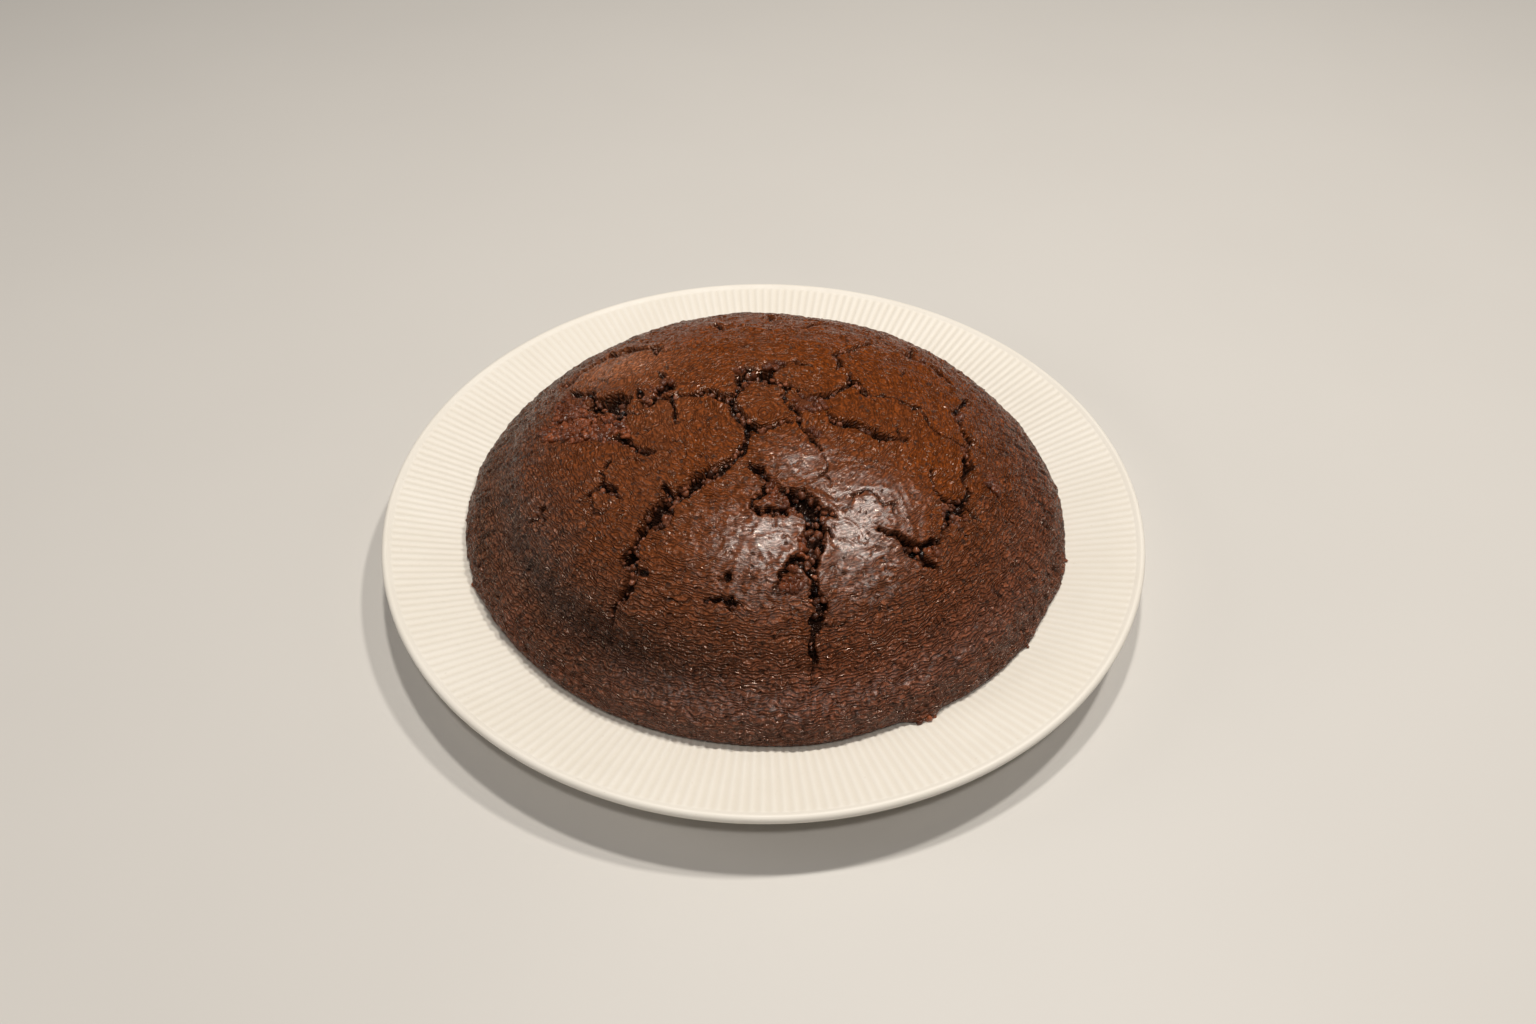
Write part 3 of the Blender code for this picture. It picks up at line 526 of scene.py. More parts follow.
def dress(piece, material, slot, *nodes):
    """Give a piece its material and its place in the frame."""
    piece.data.materials.clear()
    piece.data.materials.append(material)
    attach(piece, "root")
    if nodes:
        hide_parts(*nodes)


# ---- shader building blocks ----
class Wire:
    """An output socket in a shader tree; +, - and * between wires, or with a number, add Math nodes."""

    def __init__(self, node, output=0):
        self.socket = node.outputs[output]
        self.tree = node.id_data

    def __add__(self, other):
        return maths("ADD", self, other)

    def __sub__(self, other):
        return maths("SUBTRACT", self, other)

    def __rsub__(self, other):
        return maths("SUBTRACT", other, self)

    def __mul__(self, other):
        return maths("MULTIPLY", self, other)


def feed(node, inputs):
    """Give a node's inputs plain values, three-part colours or wires."""
    for key, value in inputs.items():
        socket = node.inputs[key]
        if isinstance(value, Wire):
            value.tree.links.new(value.socket, socket)
        else:
            socket.default_value = (*value, 1) if socket.type == "RGBA" and len(value) == 3 else value


def add_node(tree, kind, inputs=None, **settings):
    """Add a node to a tree, with its settings and inputs."""
    node = tree.nodes.new(kind)
    for key, value in settings.items():
        setattr(node, key, value)
    feed(node, inputs or {})
    return node


def tree_of(values):
    """The shader tree of the first wire among some values."""
    return next(value.tree for value in values if isinstance(value, Wire))


def join(kind, *values, **settings):
    """Add a node that takes the values in order; its first output."""
    return Wire(add_node(tree_of(values), kind, dict(enumerate(values)), **settings))


def maths(operation, *values, clamp=False):
    """One Math node, named by its operation."""
    return join("ShaderNodeMath", *values, operation=operation, use_clamp=clamp)


def vector_maths(operation, *values):
    """One Vector Math node, named by its operation."""
    return join("ShaderNodeVectorMath", *values, operation=operation)


def parts_of(vector):
    """The x, y and z of a vector."""
    node = add_node(vector.tree, "ShaderNodeSeparateXYZ", {0: vector})
    return [Wire(node, axis) for axis in range(3)]


def rescale(value, low, high, to_low=0.0, to_high=1.0):
    """Map low to high onto to_low to to_high, and hold the ends."""
    node = add_node(value.tree, "ShaderNodeMapRange", {"Value": value, "From Min": low, "From Max": high,
                                                       "To Min": to_low, "To Max": to_high}, clamp=True)
    return Wire(node)


def blend(share, first, second, mode="MIX"):
    """Mix two colours, each a wire or red, green and blue."""
    tree = tree_of((share, first, second))
    inputs = {0: share, 6: first, 7: second}
    return Wire(add_node(tree, "ShaderNodeMix", inputs, data_type="RGBA", blend_type=mode), 2)


def noise_node(place, scale, detail=2.0, roughness=0.5, distortion=0.0):
    """A Noise Texture node read at a place."""
    return add_node(place.tree, "ShaderNodeTexNoise", {"Vector": place, "Scale": scale, "Detail": detail,
                                                       "Roughness": roughness, "Distortion": distortion})


def noise(place, size, detail=2.0, roughness=0.5):
    """Noise with features of a size given in metres."""
    return Wire(noise_node(place, 1 / size, detail, roughness))


def mottle(place, size, low, high, detail=2.0, roughness=0.5):
    """Noise spread out from low to high."""
    return rescale(noise(place, size, detail, roughness), 0.3, 0.7, low, high)


def cell_noise(place, scale):
    """Voronoi cells: the distance from each cell's point, and a random number for each cell."""
    node = add_node(place.tree, "ShaderNodeTexVoronoi", {"Vector": place, "Scale": scale})
    return Wire(node, "Distance"), join("ShaderNodeSeparateColor", Wire(node, "Color"))


def attributes(place, *names):
    """The values that the mesh carries under these names, as wires in the same tree as the place."""
    return [Wire(add_node(place.tree, "ShaderNodeAttribute", attribute_name=name), "Fac") for name in names]


def new_material(name):
    """A new material, its Principled shader, and its piece's Object coordinates."""
    material = bpy.data.materials.new(name)
    material.use_nodes = True
    tree = material.node_tree
    return material, tree.nodes["Principled BSDF"], Wire(add_node(tree, "ShaderNodeTexCoord"), "Object")


def bumped(height, strength):
    """Normal from a height in millimetres, times a strength."""
    return Wire(add_node(height.tree, "ShaderNodeBump",
                         {"Height": height, "Distance": strength * MM, "Strength": 1.0}))


GRAIN_INPUTS = {"Pimple Scale": 760.0, "Fold Scale": 430.0, "Bead Scale": 800.0, "Pore Scale": 400.0,
                "Pore Size": 0.34, "Wrinkle Scale": 200.0, "Wrinkle Height": 0.32, "Pimple Height": 0.08,
                "Fold Height": 0.14, "Bead Height": 0.06, "Pore Depth": 0.25}
GRAIN_OUTPUTS = ("Height", "Creases", "Pores", "Drift", "Wrinkles")


def grain_group():
    """Baked grain: wavy skin wrinkles level round the cake, low pimples, folds, soft beads and pores.

    Height is in millimetres once each part is weighted; the masks run from 0 to 1.
    """
    name = "baked_grain"
    if name in bpy.data.node_groups:
        return bpy.data.node_groups[name]
    tree = bpy.data.node_groups.new(name, "ShaderNodeTree")
    tree.interface.new_socket("Place", in_out="INPUT", socket_type="NodeSocketVector")
    for key, value in GRAIN_INPUTS.items():
        tree.interface.new_socket(key, in_out="INPUT", socket_type="NodeSocketFloat").default_value = value
    for key in GRAIN_OUTPUTS:
        tree.interface.new_socket(key, in_out="OUTPUT", socket_type="NodeSocketFloat")
    source = tree.nodes.new("NodeGroupInput")
    given = {key: Wire(source, key) for key in ("Place", *GRAIN_INPUTS)}
    place = given["Place"]

    drift_noise = noise_node(place, given["Fold Scale"], detail=0.0, distortion=1.5)
    drift = Wire(drift_noise)
    pushed = vector_maths("MULTIPLY_ADD", Wire(drift_noise, "Color"), (0.0012, 0.0012, 0.0012), place)
    x, y, z = parts_of(place)
    level = join("ShaderNodeCombineXYZ", maths("SQRT", x * x + y * y) - z, x, y)
    wave = add_node(tree, "ShaderNodeTexWave", {
        "Vector": level, "Scale": given["Wrinkle Scale"], "Distortion": 17.0, "Detail": 2.0,
        "Detail Scale": 0.8, "Detail Roughness": 0.6})
    wrinkle = Wire(wave, "Fac")
    apart, lot = cell_noise(pushed, given["Pimple Scale"])
    mound = maths("SUBTRACT", 1.0, apart * apart * 4.0, clamp=True)
    pimple = mound * mound * rescale(maths("POWER", lot, 4.0), 0.0, 1.0, 0.12, 1.9)
    ridge = maths("ABSOLUTE", drift - 0.5) * 2.0
    bead = Wire(noise_node(place, given["Bead Scale"], detail=0.0, distortion=0.4))
    pore_apart, pore_lot = cell_noise(pushed, given["Pore Scale"])
    pore_reach = pore_lot * (given["Pore Size"] * 1.6) - given["Pore Size"] * 0.6
    pore = rescale(pore_reach - pore_apart, -0.02, 0.05)

    height = pimple * given["Pimple Height"] + wrinkle * given["Wrinkle Height"]
    height = height + ridge * given["Fold Height"] + bead * given["Bead Height"] - pore * given["Pore Depth"]
    results = (height, rescale(apart, 0.40, 0.66), pore, drift, wrinkle)
    feed(tree.nodes.new("NodeGroupOutput"), dict(zip(GRAIN_OUTPUTS, results)))
    return tree


def baked_grain(place, inputs=None):
    """Place the grain group, with its own values for some inputs; its outputs as wires by name."""
    inputs = {"Place": place, **(inputs or {})}
    node = add_node(place.tree, "ShaderNodeGroup", inputs, node_tree=grain_group())
    return {key: Wire(node, key) for key in GRAIN_OUTPUTS}


# ---- materials ----
CRUST_MASKS = ("cut", "crumb", "wet", "pale", "side", "dull", "rugged", "gloss")
# painted shade: the colour of the crack beads deep down
SHADED_DEEP_CRUMB = (0.010, 0.004, 0.003)
MOIST_CRUMB = (0.250, 0.078, 0.034)
SHADED_CRUMB = (0.070, 0.017, 0.006)
FLUFFY_CRUMB = (0.260, 0.066, 0.020)
GLAZE_SPECK = (0.45, 0.36, 0.24)
CHOCOLATE_IOR, GLAZE_IOR = 1.46, 1.5


def crust_material(look):
    """Baked chocolate crust: redder on top, darker to the foot on the left as painted shade, wet, and painted
    near black down in the cracks as shade.
    """
    material, shader, place = new_material("chocolate_crust")
    grain = baked_grain(place)
    x, y, z = parts_of(place)
    cut, crumb, wet, pale, side, dull, rugged, gloss = attributes(place, *CRUST_MASKS)

    # redder towards the back and the right of the top, brown to the left, and a foot colour low on the side:
    # darker on the left as painted shade, lighter in front partly as painted highlight
    warm = x * 4.0 + y * 5.0 + mottle(place, 0.030, -0.25, 0.25, detail=3.0)
    colour = blend(rescale(warm, -0.35, 0.45), look.brown, look.red_brown)
    low = z + mottle(place, 0.012, -0.004, 0.004)
    foot = blend(rescale(x, -0.06, 0.02), look.foot_dark, look.foot_brown)
    colour = blend(rescale(low, 0.028, 0.048, 1.0, 0.0), colour, foot)
    colour = blend(rescale(low, 0.019, 0.027, 0.9, 0.0), colour, look.brim_brown)
    # paler at the back left: drier skin, partly a painted sheen
    colour = blend(pale, colour, look.pale_sheen_brown)

    # the place as bearing and height alone, in which streaks and dents run down the slope of the flanks
    spun = vector_maths("NORMALIZE", vector_maths("MULTIPLY", place, (1.0, 1.0, 0.0)))
    down = join("ShaderNodeCombineXYZ", 0.0, 0.0, z * 0.30)
    spun = vector_maths("MULTIPLY_ADD", spun, (0.1, 0.1, 0.0), down)
    streak = noise(spun, 0.0012, roughness=0.6)
    dent_apart, dent_lot = cell_noise(spun, 430.0)
    dent = rescale(dent_lot * 0.42 - dent_apart, -0.06, 0.08) * side

    # fine speckle and broader mottling everywhere; painted shade in creases, between wrinkles, in the dents
    # and streak grooves of the flanks and in the furrow, with painted highlight on wrinkle crests and streak
    # ridges
    tone = mottle(place, 0.0022, 0.76, 1.24, roughness=0.6)
    tone = tone * rescale(noise(place, 0.0009, 1.0, 0.6), 0.32, 0.68, 0.78, 1.20)
    tone = tone * (1.0 - grain["Creases"] * 0.32) * rescale(grain["Wrinkles"], 0.1, 0.8, 0.68, 1.15)
    streaked = tone * rescale(streak, 0.36, 0.56, 0.60, 1.20)
    tone = tone + side * (streaked - tone)
    # painted shade: darker in the dents of the flanks and in the furrow at the front left
    tone = tone * (1.0 - dent * 0.60) * (1.0 - dull * 0.60)
    colour = blend(1.0, colour, tone, "MULTIPLY")
    # painted shade: near black in the pores
    colour = blend(grain["Pores"] * 0.65, colour, look.hollow_shade)
    colour = blend(crumb, colour, blend(wet, look.crumb_red, look.crumb_wet))
    # painted shade: near black deep in the cracks, along hairline cracks and in pits
    colour = blend(cut, colour, look.hollow_shade)

    rough = mottle(place, 0.003, 0.10, 0.23, detail=3.0) - wet * crumb * 0.10 + grain["Pores"] * 0.4
    height = grain["Height"] + (rescale(streak, 0.30, 0.60) * (side * 0.25) - dent * 0.35)
    coat = gloss * (rescale(grain["Wrinkles"], 0.30, 0.85, 0.60, 1.0) * (1.0 - grain["Pores"]))
    feed(shader, {"Base Color": colour, "Roughness": rough, "Normal": bumped(height, rugged),
                  "Coat Weight": coat, "Coat Roughness": 0.36, "Coat IOR": 1.68, "IOR": CHOCOLATE_IOR,
                  "Specular IOR Level": 0.36, "Specular Tint": (1.0, 0.78, 0.66)})
    return material


def crumb_material(look, name, dark, light):
    """Moist cake crumb: beads that range between two browns, glistening, with their pores painted near black
    as shade.
    """
    material, shader, place = new_material(name)
    grain = baked_grain(place, {
        "Pimple Scale": 1400.0, "Bead Scale": 1200.0, "Fold Scale": 800.0, "Pore Scale": 900.0,
        "Wrinkle Height": 0.0, "Pimple Height": 0.10, "Fold Height": 0.12, "Bead Height": 0.10,
        "Pore Depth": 0.10})
    tone, = attributes(place, "tone")
    colour = blend(grain["Pores"], blend(tone, dark, light), look.hollow_shade)
    feed(shader, {"Base Color": colour, "Roughness": rescale(grain["Drift"], 0.3, 0.7, 0.16, 0.36),
                  "Normal": bumped(grain["Height"], 1.0), "IOR": CHOCOLATE_IOR})
    return material


def glaze_material(look):
    """Cream glaze: darker in the grooves as painted shade, faintly rippled, worn to bare clay on the foot
    ring.
    """
    material, shader, place = new_material("cream_glaze")
    groove, foot = attributes(place, "groove", "foot")
    colour = blend(mottle(place, 0.025, 0.0, 1.0, detail=3.0) * 0.25, look.glaze, look.darker_glaze_and_shade)
    # painted shade in the grooves between the ribs
    colour = blend(groove * 0.42, colour, look.darker_glaze_and_shade)
    colour = blend(rescale(noise(place, 0.0009), 0.70, 0.76) * 0.25, colour, GLAZE_SPECK)
    colour = blend(foot, colour, look.clay)
    rough = mottle(place, 0.006, 0.44, 0.54, detail=3.0) + foot * 0.3
    feed(shader, {"Base Color": colour, "Roughness": rough, "Normal": bumped(noise(place, 0.004), 0.06),
                  "IOR": GLAZE_IOR})
    return material


def floor_material(look):
    """A plain pale matt surface."""
    material, shader, place = new_material("pale_floor")
    dusk = [part * 0.93 for part in look.floor]
    colour = blend(mottle(place, 0.12, 0.0, 0.3, detail=3.0), look.floor, dusk)
    feed(shader, {"Base Color": colour, "Roughness": 0.55})
    return material


# ---- settings ----
def colour_setting(name, description, default):
    return FloatVectorProperty(name=name, description=description, default=default, subtype="COLOR",
                               size=3, min=0.0, max=1.0)


def length_setting(name, description, default):
    return FloatProperty(name=name, description=description, default=default, unit="LENGTH", min=0.0,
                         precision=5, step=0.01)


def count_setting(name, description, default, least):
    return IntProperty(name=name, description=description, default=default, min=least)


def power_setting(name, description, default):
    return FloatProperty(name=name, description=description, default=default, unit="POWER", min=0.0)


class PlateLook(bpy.types.PropertyGroup):
    radius: length_setting("Radius", "From the middle to the rim", PLATE_RIM * MM)
    lip_radius: length_setting("Lip radius", "Rounding of the rim", 0.0015)
    rib_count: count_setting("Ribs", "Radial ribs round the flange", 252, 12)
    rib_relief: length_setting("Rib relief", "Crest above the flange's mean line", 0.00012)
    glaze: colour_setting("Glaze", "Cream of the glaze", (0.80, 0.76, 0.69))
    # a darker glaze for the random mottling, and painted shade in the grooves
    darker_glaze_and_shade: colour_setting("Deep glaze", "Glaze where it pools in the grooves", (0.68, 0.62, 0.52))
    clay: colour_setting("Clay", "Bare clay of the foot ring", (0.52, 0.44, 0.34))


class CakeLook(bpy.types.PropertyGroup):
    radius: length_setting("Radius", "Mean radius at the foot", 0.1028)
    rise: length_setting("Rise", "Height of the dome above its edge", 0.0435)
    lip: length_setting("Crust lip", "How far the crust curls up beside a crack", 0.0007)
    grid: count_setting("Grid", "Points along each side of the crust's grid", 900, 60)
    triangles: count_setting("Triangles", "Triangles kept in the crust", 192000, 1000)
    red_brown: colour_setting("Red brown", "Crust at the back and right of the top", (0.178, 0.038, 0.003))
    brown: colour_setting("Brown", "Crust at the front and left", (0.155, 0.043, 0.013))
    # lighter than the top, partly a painted highlight that stands in for glints in front
    foot_brown: colour_setting("Foot brown", "Crust low on the side", (0.190, 0.058, 0.026))
    brim_brown: colour_setting("Brim brown", "Crust of the rounded brim at the foot", (0.160, 0.054, 0.028))
    # painted shade of the steep left wall, which faces away from the light
    foot_dark: colour_setting("Dark foot", "Crust low on the left side", (0.135, 0.053, 0.028))
    # paler, drier crust, partly a painted sheen of grazing light
    pale_sheen_brown: colour_setting("Pale brown", "Drier crust at the back left", (0.350, 0.126, 0.056))
    # painted shade: the near black laid deep in cracks and pores
    hollow_shade: colour_setting("Crack brown", "Deep in a crack or pore", (0.016, 0.0065, 0.004))
    crumb_red: colour_setting("Crumb", "Crumb that shows where crust is gone", (0.150, 0.043, 0.017))
    crumb_wet: colour_setting("Wet crumb", "Moist crumb beside and in the cracks", (0.130, 0.038, 0.014))


class CrumbLook(bpy.types.PropertyGroup):
    beads: count_setting("Beads", "Lumps of crumb in the cracks", 1100, 1)
    smallest: length_setting("Smallest", "Radius of the smallest lump", 0.00045)
    largest: length_setting("Largest", "Radius of the largest lump", 0.0014)


class StageLook(bpy.types.PropertyGroup):
    floor: colour_setting("Floor", "Colour of the pale floor", (0.62, 0.60, 0.57))
    key: power_setting("Key lights", "Power of the two lights overhead", 12.5)
    front: power_setting("Front light", "Power of the light above the front", 3.5)
    fill: power_setting("Fill light", "Power of each side light", 1.0)
    sky: FloatProperty(name="Surroundings", description="Strength of the even light all round",
                       default=0.08, min=0.0)


def look_plate():
    return bpy.context.scene.lavacake_plate


def look_cake():
    return bpy.context.scene.lavacake_cake


# ---- the plate ----
def plate_section(look):
    """Points of (radius, height, share of rib, bare foot) from the middle over the rim and back under."""
    rim, lip = look.radius / MM, look.lip_radius / MM
    start = bend_start(rim)
    bend = [start + FLANGE_BLEND * share for share in (0, 0.2, 0.4, 0.6, 0.8, 1)]
    section = [(radius, plate_top(radius), 0.0, 0.0) for radius in bend]
    for radius in (*np.linspace(RIB_START, RIB_START + RIB_FADE, 3), 100.0, 110.0, 120.0,
                   *np.linspace(RIB_END - RIB_FADE, RIB_END, 5)):
        share = ease((radius - RIB_START) / RIB_FADE) * ease((RIB_END - radius) / RIB_FADE)
        section.append((radius, plate_top(radius), share, 0.0))
    for degrees in np.linspace(105, -80, 10):
        turn = math.radians(degrees)
        section.append((rim - lip + lip * math.cos(turn), PLATE_TOP - lip + lip * math.sin(turn), 0.0, 0.0))
    for radius in (125.0, 110.0, 95.0, FOOT_OUTER + 6.0, FOOT_OUTER + 3.4):
        section.append((radius, plate_top(radius) - PLATE_THICKNESS, 0.0, 0.0))
    section += [(FOOT_OUTER + step, height, 0, bare) for step, height, bare in FOOT_OUTSIDE]
    section.append(((FOOT_OUTER + FOOT_INNER) / 2, 0.0, 0, 1))
    section += [(FOOT_INNER + step, height, 0, bare) for step, height, bare in FOOT_INSIDE]
    return np.array(section)


def build_plate(look):
    """The turned plate: each section point goes round the axis, and where ribs are it rises by the
    rib relief times cos(rib count times the angle)."""
    columns = COLUMNS_PER_RIB * look.rib_count
    angle = np.arange(columns) / columns * math.tau
    radius, height, rib, foot = (part[:, None] for part in plate_section(look).T)
    wave = np.cos(look.rib_count * angle)[None, :]
    z = height + look.rib_relief / MM * rib * wave
    points = np.stack([radius * np.cos(angle), radius * np.sin(angle), z], -1).reshape(-1, 3)
    rows = len(radius)
    ends = np.array([[0.0, 0.0, WELL_Z], [0.0, 0.0, RECESS_Z]])
    top, bottom = len(points), len(points) + 1
    first = np.arange(columns)
    faces = grid_faces(rows, columns, True)[:, ::-1].tolist()
    faces += fan_faces(first, top).tolist()
    faces += fan_faces(first + (rows - 1) * columns, bottom)[:, ::-1].tolist()
    # how far down a groove between the ribs each point lies; the glaze is painted darker there as shade
    groove = (rib * (0.5 - 0.5 * wave)).ravel()
    bare = np.broadcast_to(foot, (rows, columns)).ravel()
    values = {"groove": np.append(groove, [0, 0]), "foot": np.append(bare, [0, 0])}
    return mesh_piece("plate_glazed", np.concatenate([points, ends]), faces, values)


# ---- the crust ----
def cake_section(look):
    """Arc length, radius and height along the dome from its top down to the plate, in fine even steps."""
    edge = look.radius / MM
    radius = edge * np.sin(np.linspace(0, math.pi / 2, 3000))
    height = dome_height(radius, look)
    foot = np.linspace(0, 1, 60)[1:]
    floor = under_cake(edge - FOOT_TUCK)
    radius = np.append(radius, edge - FOOT_TUCK * foot ** 3)
    height = np.append(height, CAKE_EDGE_Z + (floor - CAKE_EDGE_Z) * foot)
    run = np.concatenate([[0.0], np.cumsum(np.hypot(np.diff(radius), np.diff(height)))])
    return run, radius, height


def square_to_disc(count):
    """An even grid of points over the unit disc: each square ring of the grid becomes a circle."""
    a, b = np.meshgrid(np.linspace(-1, 1, count), np.linspace(-1, 1, count), indexing="xy")
    wide = np.abs(a) > np.abs(b)
    radius = np.where(wide, a, b)
    safe = np.where(radius == 0, 1, radius)
    turn = np.where(wide, math.pi / 4 * b / safe, math.pi / 2 - math.pi / 4 * a / safe)
    return radius * np.cos(turn), radius * np.sin(turn)


def crack_floor(u, v, crack):
    """Crumb down in a crack: round lumps of three sizes, taller where the crack is deep."""
    return (noises(u, v, FLOOR_LUMPS, lumps) - 1.5) * (0.5 + 0.13 * np.minimum(crack, 6.0))


def crack_lip(u, v, edge, look):
    """The crust curls up beside a crack by a hill LIP_REACH wide, with a sharp small step at the edge."""
    beside = np.clip(edge, 0, None)
    curl = look.lip / MM * (0.6 + ripple(u, v, 9.0, 62)) * np.exp(-(beside / LIP_REACH) ** 2)
    return curl - 0.16 * np.exp(-beside / 0.5)


def skin_folds(u, v, rugged, front):
    """Small folds and broader wrinkles, both creased ripples and both taller in front."""
    small = np.minimum(rugged, 1.2) * (0.42 + 0.30 * front) * (creased(u, v, 1.6, 5, 2.6, 33) - 0.3)
    broad = np.clip(1 - creased(u, v, 2.2, 9, 5.5, 71) / 0.55, 0, 1)
    return small + (0.14 + 0.30 * front) * (broad ** 2 - 0.3)


def pit_depths(x, y, u, v):
    """Round bowls with a depth of 1: random ones over the unrolled dome, and deeper ones that are placed."""
    apart, number = cells(u, v, PIT_CELL, 44)
    radius = PIT_SMALLEST + PIT_GROWTH * (number - PIT_SHARE) / (1 - PIT_SHARE)
    radius = np.where(number > PIT_SHARE, radius, 0.0)
    pits = np.clip(1 - (apart / np.maximum(radius, 1e-3)) ** 2, 0, 1)
    for pit_x, pit_y, reach in PITS:
        pits = np.maximum(pits, 1.4 * np.clip(1 - ((x - pit_x) ** 2 + (y - pit_y) ** 2) / reach ** 2, 0, 1))
    return pits


def satin(x, y, out):
    """How satiny the skin is: the places of SHEEN, the left flank a little, and the front of the brim."""
    flank = 0.22 * ease((-50 - x) / 25) * ease((95 - out) / 6)
    brim = 0.35 * np.exp(-((out - 96) / 5) ** 2) * ease((-30 - y) / 40) * ease((x + 60) / 30)
    return np.clip(bumps(x, y, SHEEN) + flank + brim, 0, 1)


def crust_relief(x, y, u, v, run, look):
    """Height of the crust over the smooth dome, and the masks that its material reads by name.

    x, y are seen from above; u, v are the dome unrolled, so that patterns keep their size on the side.
    Cracks and patches are read at places shifted by noise, which makes their edges ragged.
    """
    warp_x, warp_y = noises(x, y, WANDER_X, start=x), noises(x, y, WANDER_Y, start=y)
    ragged = noises(x, y, RAGGED_CHIPS, chips) + 0.5 * ripple(x, y, 3.0, 57)
    crack, edge, half_width = crack_fields(warp_x, warp_y, ragged)
    thin = 1 - ease((half_width - 0.5) / 0.8)
    patch, bare, wet = patch_fields(warp_x, warp_y, ragged + 0.5 * ripple(x, y, 5.0, 58))
    open_crack = ease(crack / 1.2)
    gone = np.maximum(open_crack, bare)
    floor = crack_floor(u, v, crack)
    crack = crack * (0.85 + 0.3 * ripple(u, v, 3.5, 27))
    lip = crack_lip(u, v, edge, look) * (1 - thin)

    side = ease((run - SIDE_START) / SIDE_BLEND)
    out = np.hypot(x - CAKE_CENTRE[0], y - CAKE_CENTRE[1])
    bearing = np.arctan2(y - CAKE_CENTRE[1], x - CAKE_CENTRE[0])
    swell = noises(u, v, SWELL_NOISE, start=bumps(x, y, SWELLS))
    for toward, spread, ring, half, rise in SIDE_RINGS:
        swell += rise * np.exp(-(turn_from(bearing, toward) / spread) ** 2 - ((out - ring) / half) ** 2)
    # painted shade of the furrow at the front left, which the material reads to darken the colour there
    toward, spread, ring, half = FURROW_SHADE
    dull = np.exp(-(turn_from(bearing, toward) / spread) ** 2 - ((out - ring) / half) ** 2)
    smooth = bumps(x, y, SHEEN)
    rugged = 0.90 + 1.30 * ease((run - 58) / 32) - 0.05 * ease((y - 5) / 30) + 0.25 * ripple(u, v, 14.0, 61)
    rugged = np.clip(rugged - 0.42 * smooth, 0.32, 2.6)
    front = ease((8 - y) / 30) * (1 - 0.5 * np.clip(smooth, 0, 1))
    flank = side * (0.12 + 0.88 * np.cos(bearing) ** 2)
    streaks = noises(bearing * 100.0, run / 3.2, STREAK_NOISE)
    pits = pit_depths(x, y, u, v)
    crust = swell + lip + skin_folds(u, v, rugged, front) * (1 - gone) + flank * 0.45 * streaks - 0.55 * pits

    depth = np.maximum(crack, patch)
    relief = crust - depth + gone * floor
    sunk = depth - gone * floor
    # painted shade: how far the colour turns near black, deeper in cracks, along hairline cracks and in pits
    cut = np.maximum(ease((sunk - 0.1) / 1.4), 0.85 * thin) * ease(crack / 0.5) + 0.7 * pits * (1 - gone)
    masks = {"cut": np.clip(cut, 0, 1), "crumb": np.maximum(bare, 0.8 * open_crack),
             "wet": np.maximum(wet * bare, open_crack), "rugged": rugged + (1.5 - rugged) * gone,
             "side": flank * (1 - gone), "pale": bumps(x, y, PALE_SHEEN), "dull": dull,
             "gloss": satin(x, y, out) * (1 - gone)}
    return relief, masks


def foot_reach(angle, above):
    """How far the foot stands out in a bearing, less with height above its edge."""
    reach = 0.0
    for bearing, half_width, length in FOOT_TABS:
        reach = reach + length * np.exp(-(turn_from(angle, bearing) / half_width) ** 4)
    return reach * np.exp(-(above / FOOT_TAB_HEIGHT) ** 2)


def close_underneath(border, top_points, faces):
    """Rings of points that follow the plate inwards from the border's points, and a last one in the middle.

    Adds the faces between them to the list of faces, and gives the new points.
    """
    rings, previous, start = [], border, len(top_points)
    for share in (0.97, 0.93, 0.88, 0.83, 0.78, 0.72, 0.66, 0.3):
        xy = top_points[border, :2] * share
        rings.append(np.stack([xy[:, 0], xy[:, 1], under_cake(np.hypot(*xy.T))], -1))
        current = np.arange(start, start + len(border))
        start += len(border)
        faces += np.stack([previous, current, np.roll(current, -1), np.roll(previous, -1)], -1).tolist()
        previous = current
    faces += fan_faces(previous, start)[:, ::-1].tolist()
    return np.concatenate([*rings, [[0.0, 0.0, under_cake(0.0)]]])


def build_crust(look):
    """The cake's whole skin: an even disc grid laid on the dome by arc length and bearing, pushed out
    along the dome's normal by crust_relief, and closed by rings that follow the plate inwards."""
    count = look.grid
    section_run, section_radius, section_height = cake_section(look)
    disc_x, disc_y = square_to_disc(count)
    u, v = disc_x.ravel() * section_run[-1], disc_y.ravel() * section_run[-1]
    run, angle = np.hypot(u, v), np.arctan2(v, u)
    radius = np.interp(run, section_run, section_radius)
    height = np.interp(run, section_run, section_height)
    above = np.clip(height - CAKE_EDGE_Z, 0, None)
    outer = radius > 0.9 * (look.radius / MM)
    spread = radius * outline(angle, look) + np.where(outer, foot_reach(angle, above), 0.0)
    x = spread * np.cos(angle) + CAKE_CENTRE[0]
    y = spread * np.sin(angle) + CAKE_CENTRE[1]

    relief, masks = crust_relief(x, y, u, v, run, look)
    relief *= ease((section_run[-1] - run) / FOOT_CALM) * 0.92 + 0.08
    slope = dome_slope(radius, look)
    length = np.hypot(slope, 1)
    x = x - relief * slope / length * np.cos(angle)
    y = y - relief * slope / length * np.sin(angle)
    z = np.maximum(height + relief / length, under_cake(np.hypot(x, y)))
    points = np.stack([x, y, z], -1)

    faces = grid_faces(count, count, False).tolist()
    numbers = np.arange(count * count).reshape(count, count)
    border = np.concatenate([numbers[0, :-1], numbers[:-1, -1], numbers[-1, :0:-1], numbers[:0:-1, 0]])
    underside = close_underneath(border, points, faces)
    padding = np.zeros(len(underside))
    values = {key: np.append(mask, padding) for key, mask in masks.items()}
    piece = mesh_piece("cake_crust", np.concatenate([points, underside]), faces, values)
    thin_to(piece, look.triangles)
    return piece


